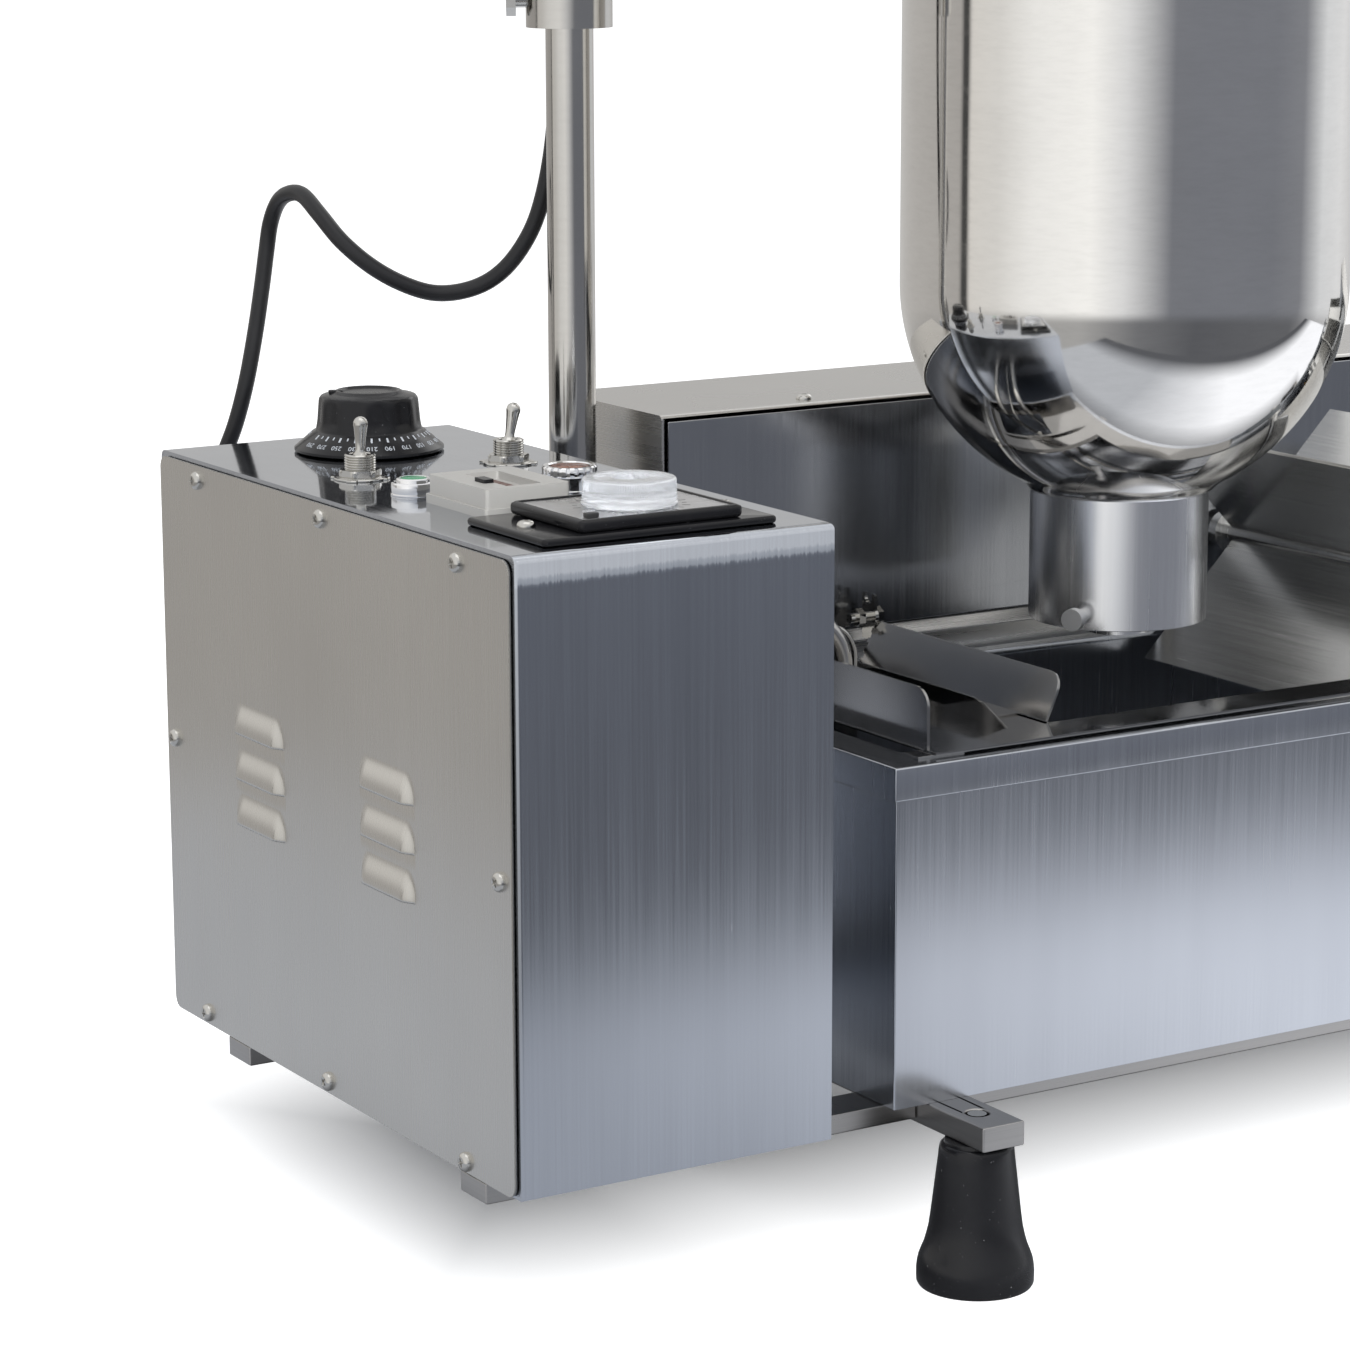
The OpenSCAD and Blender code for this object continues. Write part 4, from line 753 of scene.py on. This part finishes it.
def push_button():
    """Chromed ring on a threaded barrel, and the cap's rim with its green lens."""
    place = stand(36, 141, BOX_TOP)
    bezel = [(0, -20), (8, -20), (8, 0), (8.9, 0.02), (9, 0.2), (9, 0.5), (8.55, 0.7), (8.7, 1.0),
             (8.75, 4.3), (8.6, 4.8), (8.2, 5.0), (7.3, 5.0), (7.05, 4.8), (7.0, -1.9), (0, -1.9)]
    piece("button_ring", spun(bezel, 72, place), chrome, "base", ["button_bezel"], 40)
    rim = [(0, 1.3), (6.7, 1.3), (6.75, 5.9), (6.55, 6.4), (6.1, 6.6), (5.5, 6.6), (5.4, 6.3), (0, 6.25)]
    piece("button_rim", spun(rim, 72, place), chrome, "button", ["button_cap"], 40)
    lens = [(0, 6.2), (5.35, 6.2), (5.3, 6.35), (4.9, 6.55), (3.4, 6.7), (1.6, 6.78), (0, 6.8)]
    piece("button_lens", spun(lens, 64, place), green, "button", smooth=50)


def pilot_lamp():
    """Chromed ring with a notched rim round an uneven amber dome."""
    place = stand(92, 117, BOX_TOP)

    def notched(a, r, z):
        return r - (1.1 if z > 6.4 and z < 9.7 and r > 10 and (a * 10 / math.pi) % 1 < 0.34 else 0)

    ring = [(0, -24), (9, -24), (9, 0), (9.4, 0.02), (9.4, 0.6), (9.0, 0.8), (9.0, 5.9), (10.3, 6.0),
            (10.7, 6.3), (10.8, 6.5), (10.8, 9.3), (10.6, 9.65), (10.1, 10), (8.7, 10), (8.1, 9.6),
            (8.0, 3.0), (0, 3.0)]
    piece("lamp_ring", spun(ring, 240, place, notched), chrome, "base", ["lamp_bezel"], 30)
    rand = random.Random(4)
    turns = [math.radians(a) for a in range(84, 0, -6)]
    dome = [(0, 3.2), (7.9, 3.2), (7.9, 7.6)]
    dome += [(7.9 * math.sin(a), 7.6 + 1.4 * math.cos(a)) for a in turns] + [(0, 9.0)]
    verts, faces = spun(dome, 60, place)
    facets_from = place.translation.z + 7.7 * MM
    verts = [v + Vector((0, 0, rand.uniform(-0.28, 0.28) * MM)) if v.z > facets_from else v for v in verts]
    piece("lamp_glass", (verts, faces), amber, "base", ["lamp_lens"], 12)


def counter_wheels():
    """Number wheels that show in the counter's window; their numbers can't be read."""
    wheels = []
    for k in range(6):
        rim = [(0, 0), (4.2, 0), (4.5, 0.3), (4.5, 4.8), (4.2, 5.1), (0, 5.1)]
        wheels.append(spun(rim, 40, stand(50.5, 79.5 + k * 5.6, BOX_TOP + 4.9, turned(-90, "X"))))
    piece("counter_wheels", join(*wheels), wheel_brown, "base", smooth=35)


DIAL = (72.0, 38.0)


def timer():
    """Black plate and frame with full-round edges, a silvery face and a clear ribbed dial."""
    plate = slab((19, 9), (119, 68), bullnose(BOX_TOP + 0.05, BOX_TOP + 3.0, 1.3), 2.4)
    piece("timer_base", plate, gloss_black, "base", ["timer_plate"], 40)
    low, high = (DIAL[0] - 36, DIAL[1] - 26), (DIAL[0] + 34, DIAL[1] + 28)
    z = BOX_TOP
    rim = bullnose(z + 3.05, z + 8.0, 1.8)[:9] + [(2.0, z + 8.0), (2.6, z + 7.9), (2.9, z + 7.3)]
    works = slab((DIAL[0] - 26, DIAL[1] - 20), (DIAL[0] + 26, DIAL[1] + 20),
                 [(0.8, z - 45), (0, z - 44.2), (0, z + 2.9)], 2)
    piece("timer_case", join(slab(low, high, rim, 2.8), works), gloss_black, "base",
          ["timer_frame"], 40)
    face = slab((low[0] + 3.2, low[1] + 3.2), (high[0] - 3.2, high[1] - 3.2),
                [(0, z + 7.31), (0.1, z + 7.4)], 1.2)
    piece("timer_face", face, face_silver, "base")
    blocks = [chamfered((x - 2.6, y - 1.6, z + 7.41), (x + 2.6, y + 1.6, z + 9.2), 0.4)
              for x, y in ((low[0] + 9, low[1] + 8), (high[0] - 9, high[1] - 8))]
    for k in range(24):
        reach = 22.6 if k % 2 else 21.4
        m = stand(*DIAL, z + 7.41, turned(k * 15 + 7.5, "Z"))
        blocks.append(chamfered((19.6, -0.2, 0), (reach, 0.2, 0.05), 0.02, m))
    piece("timer_marks", join(*blocks), print_black, "base", smooth=30)
    place = stand(*DIAL, z + 7.5)

    def ribbed(a, r, height):
        return r - (0.16 + 0.16 * math.cos(120 * a) if 1.6 < height < 9.4 and r > 16 else 0)

    outside = [(0, 0), (17.6, 0), (18.1, 0.25), (18.2, 0.6), (18.1, 1.1), (17.7, 1.4), (17.7, 1.7),
               (17.65, 4), (17.6, 6.5), (17.55, 9.2), (17.3, 9.75), (16.8, 10.1), (16, 10.2),
               (7.4, 10.2), (6.9, 10.0), (6.6, 9.2), (6.2, 8.2), (0, 8.0)]
    piece("dial_cap", spun(outside, 480, place, ribbed), clear, "dial", ["timer_dial"], 50)
    spindle = [(0, -6), (3, -6), (3, -0.2), (0, -0.2)]
    piece("dial_spindle", spun(spindle, 32, place), print_black, "dial")


side_cover()
cover_return()
screws()
thermostat()
toggles()
push_button()
pilot_lamp()
counter_wheels()
timer()


# ---------------------------------------------------------------- feet
def feet():
    """Flared rubber feet with a moulded step near the floor."""
    outline = [(0, 0), (21.2, 0), (22.6, 0.4), (23.2, 1.4), (23.3, 3), (23.3, 6.6), (23.0, 9), (22.6, 11),
               (21.7, 13.5), (20.5, 16.5), (19.5, 20), (18.6, 24), (17.9, 29), (17.2, 35), (16.5, 41),
               (15.8, 47), (15.2, 52), (14.8, 56), (14.5, 57.3), (13.9, 58), (12.9, 58.2), (12.6, 58.6),
               (12.5, 59.9), (4.4, 60), (4.2, 59.5), (4.0, 40), (0, 40)]
    cross_x, foot_y = (204.5, 880.0), (-3.0, 297.0)
    data = [spun(outline, 96, stand(x, y, -70)) for x in cross_x for y in foot_y]
    piece("feet", join(*data), rubber, "base", ["rubber_feet"], 40)


feet()


# ---------------------------------------------------------------- hopper
HOPPER = (350.0, 102.0)


def hopper():
    """Cylinder with a round bottom, a rolled flange and a welded nozzle tube."""
    r, bowl, top, tube_r, low, t = 93.0, 307.5, 494.0, 37.4, 166.0, 1.2
    place = stand(*HOPPER, 0)
    join_a = -math.degrees(math.acos(tube_r / r))
    weld_z = bowl + r * math.sin(math.radians(join_a))
    outer = [(tube_r - t, low), (tube_r - 0.3, low), (tube_r, low + 0.3)]
    outer += [(tube_r, low + (weld_z - 2 - low) * k / 6) for k in range(1, 7)]
    outer += [(tube_r + 0.9, weld_z - 1.5), (tube_r + 1.9, weld_z - 0.7), (tube_r + 2.9, weld_z + 0.3)]
    outer += arc(0, bowl, r, join_a + 3.5, 0, 40)
    outer += [(r, bowl + (top - 6 - bowl) * k / 8) for k in range(1, 9)]
    outer += [(r + 0.6, top - 3.4), (r + 1.6, top - 2.9)] + arc(r + 6.5, top - 1.45, 1.45, -90, 90, 8)
    outer += [(r + 1, top - 0.02), (r - t + 0.8, top - 0.3), (r - t, top - 1.2)]
    inner = [(r - t, bowl)] + arc(0, bowl, r - t, 0, join_a, 40)
    inner += [(tube_r - t, low)]
    skin = piece("hopper_pot", spun(outer + inner, 192, place), hopper_metal, "head",
                 ["hopper"], 40)
    skin.data.materials.append(nozzle_metal)
    for f in skin.data.polygons:
        if max(skin.data.vertices[v].co.z for v in f.vertices) < at(0, 0, weld_z - 0.6)[2]:
            f.material_index = 1


hopper()


# ---------------------------------------------------------------- floor and light
def level_sheet(name, low, high, mat):
    """A flat rectangle on the floor's level, in metres."""
    corners = [(low[0], low[1], 0), (high[0], low[1], 0), (high[0], high[1], 0), (low[0], high[1], 0)]
    return make(name, (corners, [(0, 1, 2, 3)]), mat)


def floor():
    """A white floor that glows, less so in a painted shadow: a soft patch under the machine where its glow
    is dimmed.
    """
    shade = 0.06
    p = Paint("floor_white", Roughness=0.7, Specular_IOR_Level=0.0, Emission_Strength=0.85)
    p.to("Base Color", p.mix(p.noise((2, 2, 2), 2), (0.78, 0.78, 0.78, 1), (0.80, 0.80, 0.80, 1)))
    # The glow carries a painted shadow: it falls to shade under the machine's footprint and rises to full
    # all round it.
    ahead = p.remap(p.axis(p.place, "Y"), -0.085, 0.05, 1.0, shade)
    left = p.remap(p.axis(p.place, "X"), -0.535, -0.42, 1.0, shade)
    behind = p.remap(p.axis(p.place, "Y"), 0.14, 0.30, shade, 1.0)
    right = p.remap(p.axis(p.place, "X"), 0.30, 0.46, shade, 1.0)
    glow_round_painted_shadow = p.math("MAXIMUM", p.math("MAXIMUM", ahead, left), p.math("MAXIMUM", behind, right))
    p.to("Emission Color", p.grey(glow_round_painted_shadow))
    obj = level_sheet("floor", (-30, -30), (30, 30), p.mat)
    obj.visible_glossy = False


def table_glow():
    """A glowing sheet that only metal sees, a painted reflection of the lit table top: it ends in front of
    the machine, is brighter to the right and is dimmed by a painted shadow near the machine.
    """
    p = Paint("table_glow", Roughness=1.0, Specular_IOR_Level=0.0, Emission_Strength=1.0)
    p.to("Base Color", (0, 0, 0, 1))
    near = p.remap(p.axis(p.place, "Y"), -0.66, -0.50, 0.0, 1.0)
    right = p.remap(p.axis(p.place, "X"), -0.34, 0.02, 0.0, 1.0)
    lit = p.mix(right, (0.56, 0.585, 0.635, 1), (1.22, 1.25, 1.32, 1))
    # Painted shadow in the reflection: the glow is dimmed close to the machine's footprint.
    aside = p.math("SUBTRACT", p.math("ABSOLUTE", p.math("ADD", p.axis(p.place, "X"), 0.03)), 0.49)
    ahead = p.math("SUBTRACT", p.math("ABSOLUTE", p.axis(p.place, "Y")), 0.15)
    painted_shadow_fade = p.remap(p.math("MAXIMUM", aside, ahead), -0.03, 0.10, 0.16, 1.0)
    lit = p.mix(1.0, lit, p.grey(painted_shadow_fade), "MULTIPLY")
    p.to("Emission Color", p.mix(near, (0.12, 0.125, 0.14, 1), lit))
    obj = level_sheet("table_glow", (-0.88, -0.72), (1.4, 0.8), p.mat)
    obj.location.z = -0.0005
    obj.visible_camera = obj.visible_diffuse = obj.visible_shadow = obj.visible_transmission = False


def softbox(name, place, target, size, power, color=(1, 1, 1), mirrored=True):
    """A square light aimed at a target, which metal shows or not."""
    data = bpy.data.lights.new(name, "AREA")
    data.shape = "RECTANGLE"
    data.size, data.size_y = size
    data.energy = power
    data.color = color
    obj = bpy.data.objects.new(name, data)
    obj.location = place
    obj.rotation_euler = (Vector(target) - Vector(place)).to_track_quat("-Z", "Y").to_euler()
    obj.visible_camera = False
    obj.visible_glossy = mirrored
    scene.collection.objects.link(obj)


# The studio's walls by direction, in degrees from the back (+Y) towards the right (+X)
WALLS = [
    (-180, (0.215, 0.226, 0.258)), (-166, (0.22, 0.23, 0.26)), (-142, (0.85, 0.86, 0.88)),
    (-125, (1.12, 1.12, 1.11)), (-95, (1.00, 1.00, 0.99)), (-75, (0.80, 0.79, 0.77)),
    (-57, (0.78, 0.76, 0.73)), (-55, (0.06, 0.06, 0.06)), (-52, (0.07, 0.07, 0.07)),
    (-50, (0.46, 0.445, 0.43)), (-5, (0.52, 0.505, 0.49)), (15, (0.56, 0.55, 0.535)),
    (50, (0.58, 0.575, 0.57)), (80, (0.85, 0.86, 0.88)), (100, (0.80, 0.82, 0.85)),
    (118, (0.26, 0.27, 0.30)), (138, (0.215, 0.226, 0.258)), (180, (0.215, 0.226, 0.258))]
ABOVE = [
    (-180, (0.60, 0.62, 0.66)), (-120, (1.05, 1.05, 1.04)), (-60, (0.95, 0.94, 0.92)),
    (-12, (0.90, 0.88, 0.85)), (10, (0.58, 0.57, 0.555)), (50, (0.60, 0.595, 0.59)),
    (90, (0.85, 0.86, 0.88)), (150, (0.55, 0.57, 0.60)), (180, (0.60, 0.62, 0.66))]
BELOW = [
    (-180, (0.12, 0.125, 0.14)), (-150, (0.20, 0.205, 0.22)), (-120, (0.44, 0.44, 0.44)),
    (-60, (0.43, 0.42, 0.41)), (-10, (0.43, 0.42, 0.41)), (60, (0.5, 0.5, 0.5)),
    (100, (0.4, 0.4, 0.42)), (122, (0.15, 0.155, 0.17)), (180, (0.12, 0.125, 0.14))]
CEILING = (1.0, 1.0, 1.0)
# What matt surfaces get from every side
ALL_ROUND = (0.34, 0.345, 0.355)


def surroundings():
    """A pale studio: white to the camera and the floor, with walls of several greys in reflections."""
    world = bpy.data.worlds.new("studio")
    scene.world = world
    world.use_nodes = True
    tree = world.node_tree
    tree.nodes.clear()

    def node(kind, *values, **settings):
        n = tree.nodes.new(kind)
        for key, value in settings.items():
            setattr(n, key, value)
        for socket, value in zip(n.inputs, values):
            if isinstance(value, bpy.types.NodeSocket):
                tree.links.new(value, socket)
            elif value is not None:
                socket.default_value = value
        return n

    def ramp(fac, stops):
        n = tree.nodes.new("ShaderNodeValToRGB")
        tree.links.new(fac, n.inputs["Fac"])
        while len(n.color_ramp.elements) < len(stops):
            n.color_ramp.elements.new(0.5)
        for e, (angle, color) in zip(n.color_ramp.elements, stops):
            e.position, e.color = (angle + 180) / 360, (*color, 1)
        return n.outputs["Color"]

    def mixed(fac, a, b):
        n = node("ShaderNodeMix", data_type="RGBA")
        for key, value in (("Factor", fac), ("A", a), ("B", b)):
            if isinstance(value, bpy.types.NodeSocket):
                tree.links.new(value, n.inputs[key])
            else:
                n.inputs[key].default_value = value
        return n.outputs["Result"]

    def span(value, lo, hi):
        n = node("ShaderNodeMapRange", value, lo, hi, 0.0, 1.0)
        n.interpolation_type = "SMOOTHSTEP"
        return n.outputs[0]

    coords = tree.nodes.new("ShaderNodeTexCoord")
    split = node("ShaderNodeSeparateXYZ", coords.outputs["Generated"])
    turn = node("ShaderNodeMath", split.outputs["X"], split.outputs["Y"], operation="ARCTAN2").outputs[0]
    around = node("ShaderNodeMapRange", turn, -math.pi, math.pi, 0.0, 1.0).outputs[0]
    walls = ramp(around, WALLS)
    ground = ramp(around, BELOW)
    rise = split.outputs["Z"]
    color = mixed(span(rise, -0.27, -0.16), ground, walls)
    color = mixed(span(rise, -0.03, 0.14), color, ramp(around, ABOVE))
    color = mixed(span(rise, 0.30, 0.62), color, (*CEILING, 1))
    path = tree.nodes.new("ShaderNodeLightPath")
    color = mixed(path.outputs["Is Diffuse Ray"], color, (*ALL_ROUND, 1))
    color = mixed(path.outputs["Is Camera Ray"], color, (1.0, 1.0, 1.0, 1))
    back = node("ShaderNodeBackground", color, 1.0)
    out = tree.nodes.new("ShaderNodeOutputWorld")
    tree.links.new(back.outputs[0], out.inputs["Surface"])


floor()
table_glow()
surroundings()
softbox("key", (-1.5, -2.2, 1.9), (0, 0, 0.1), (3.0, 2.4), 120, (0.97, 0.985, 1.0), mirrored=False)
softbox("top", (-0.4, -0.4, 2.6), (0, 0, 0.2), (2.2, 1.8), 8)
softbox("rim_right", (2.2, 1.4, 1.6), (0.1, 0, 0.3), (1.4, 1.8), 8)
scene.view_settings.view_transform = "Standard"
scene.view_settings.look = "None"
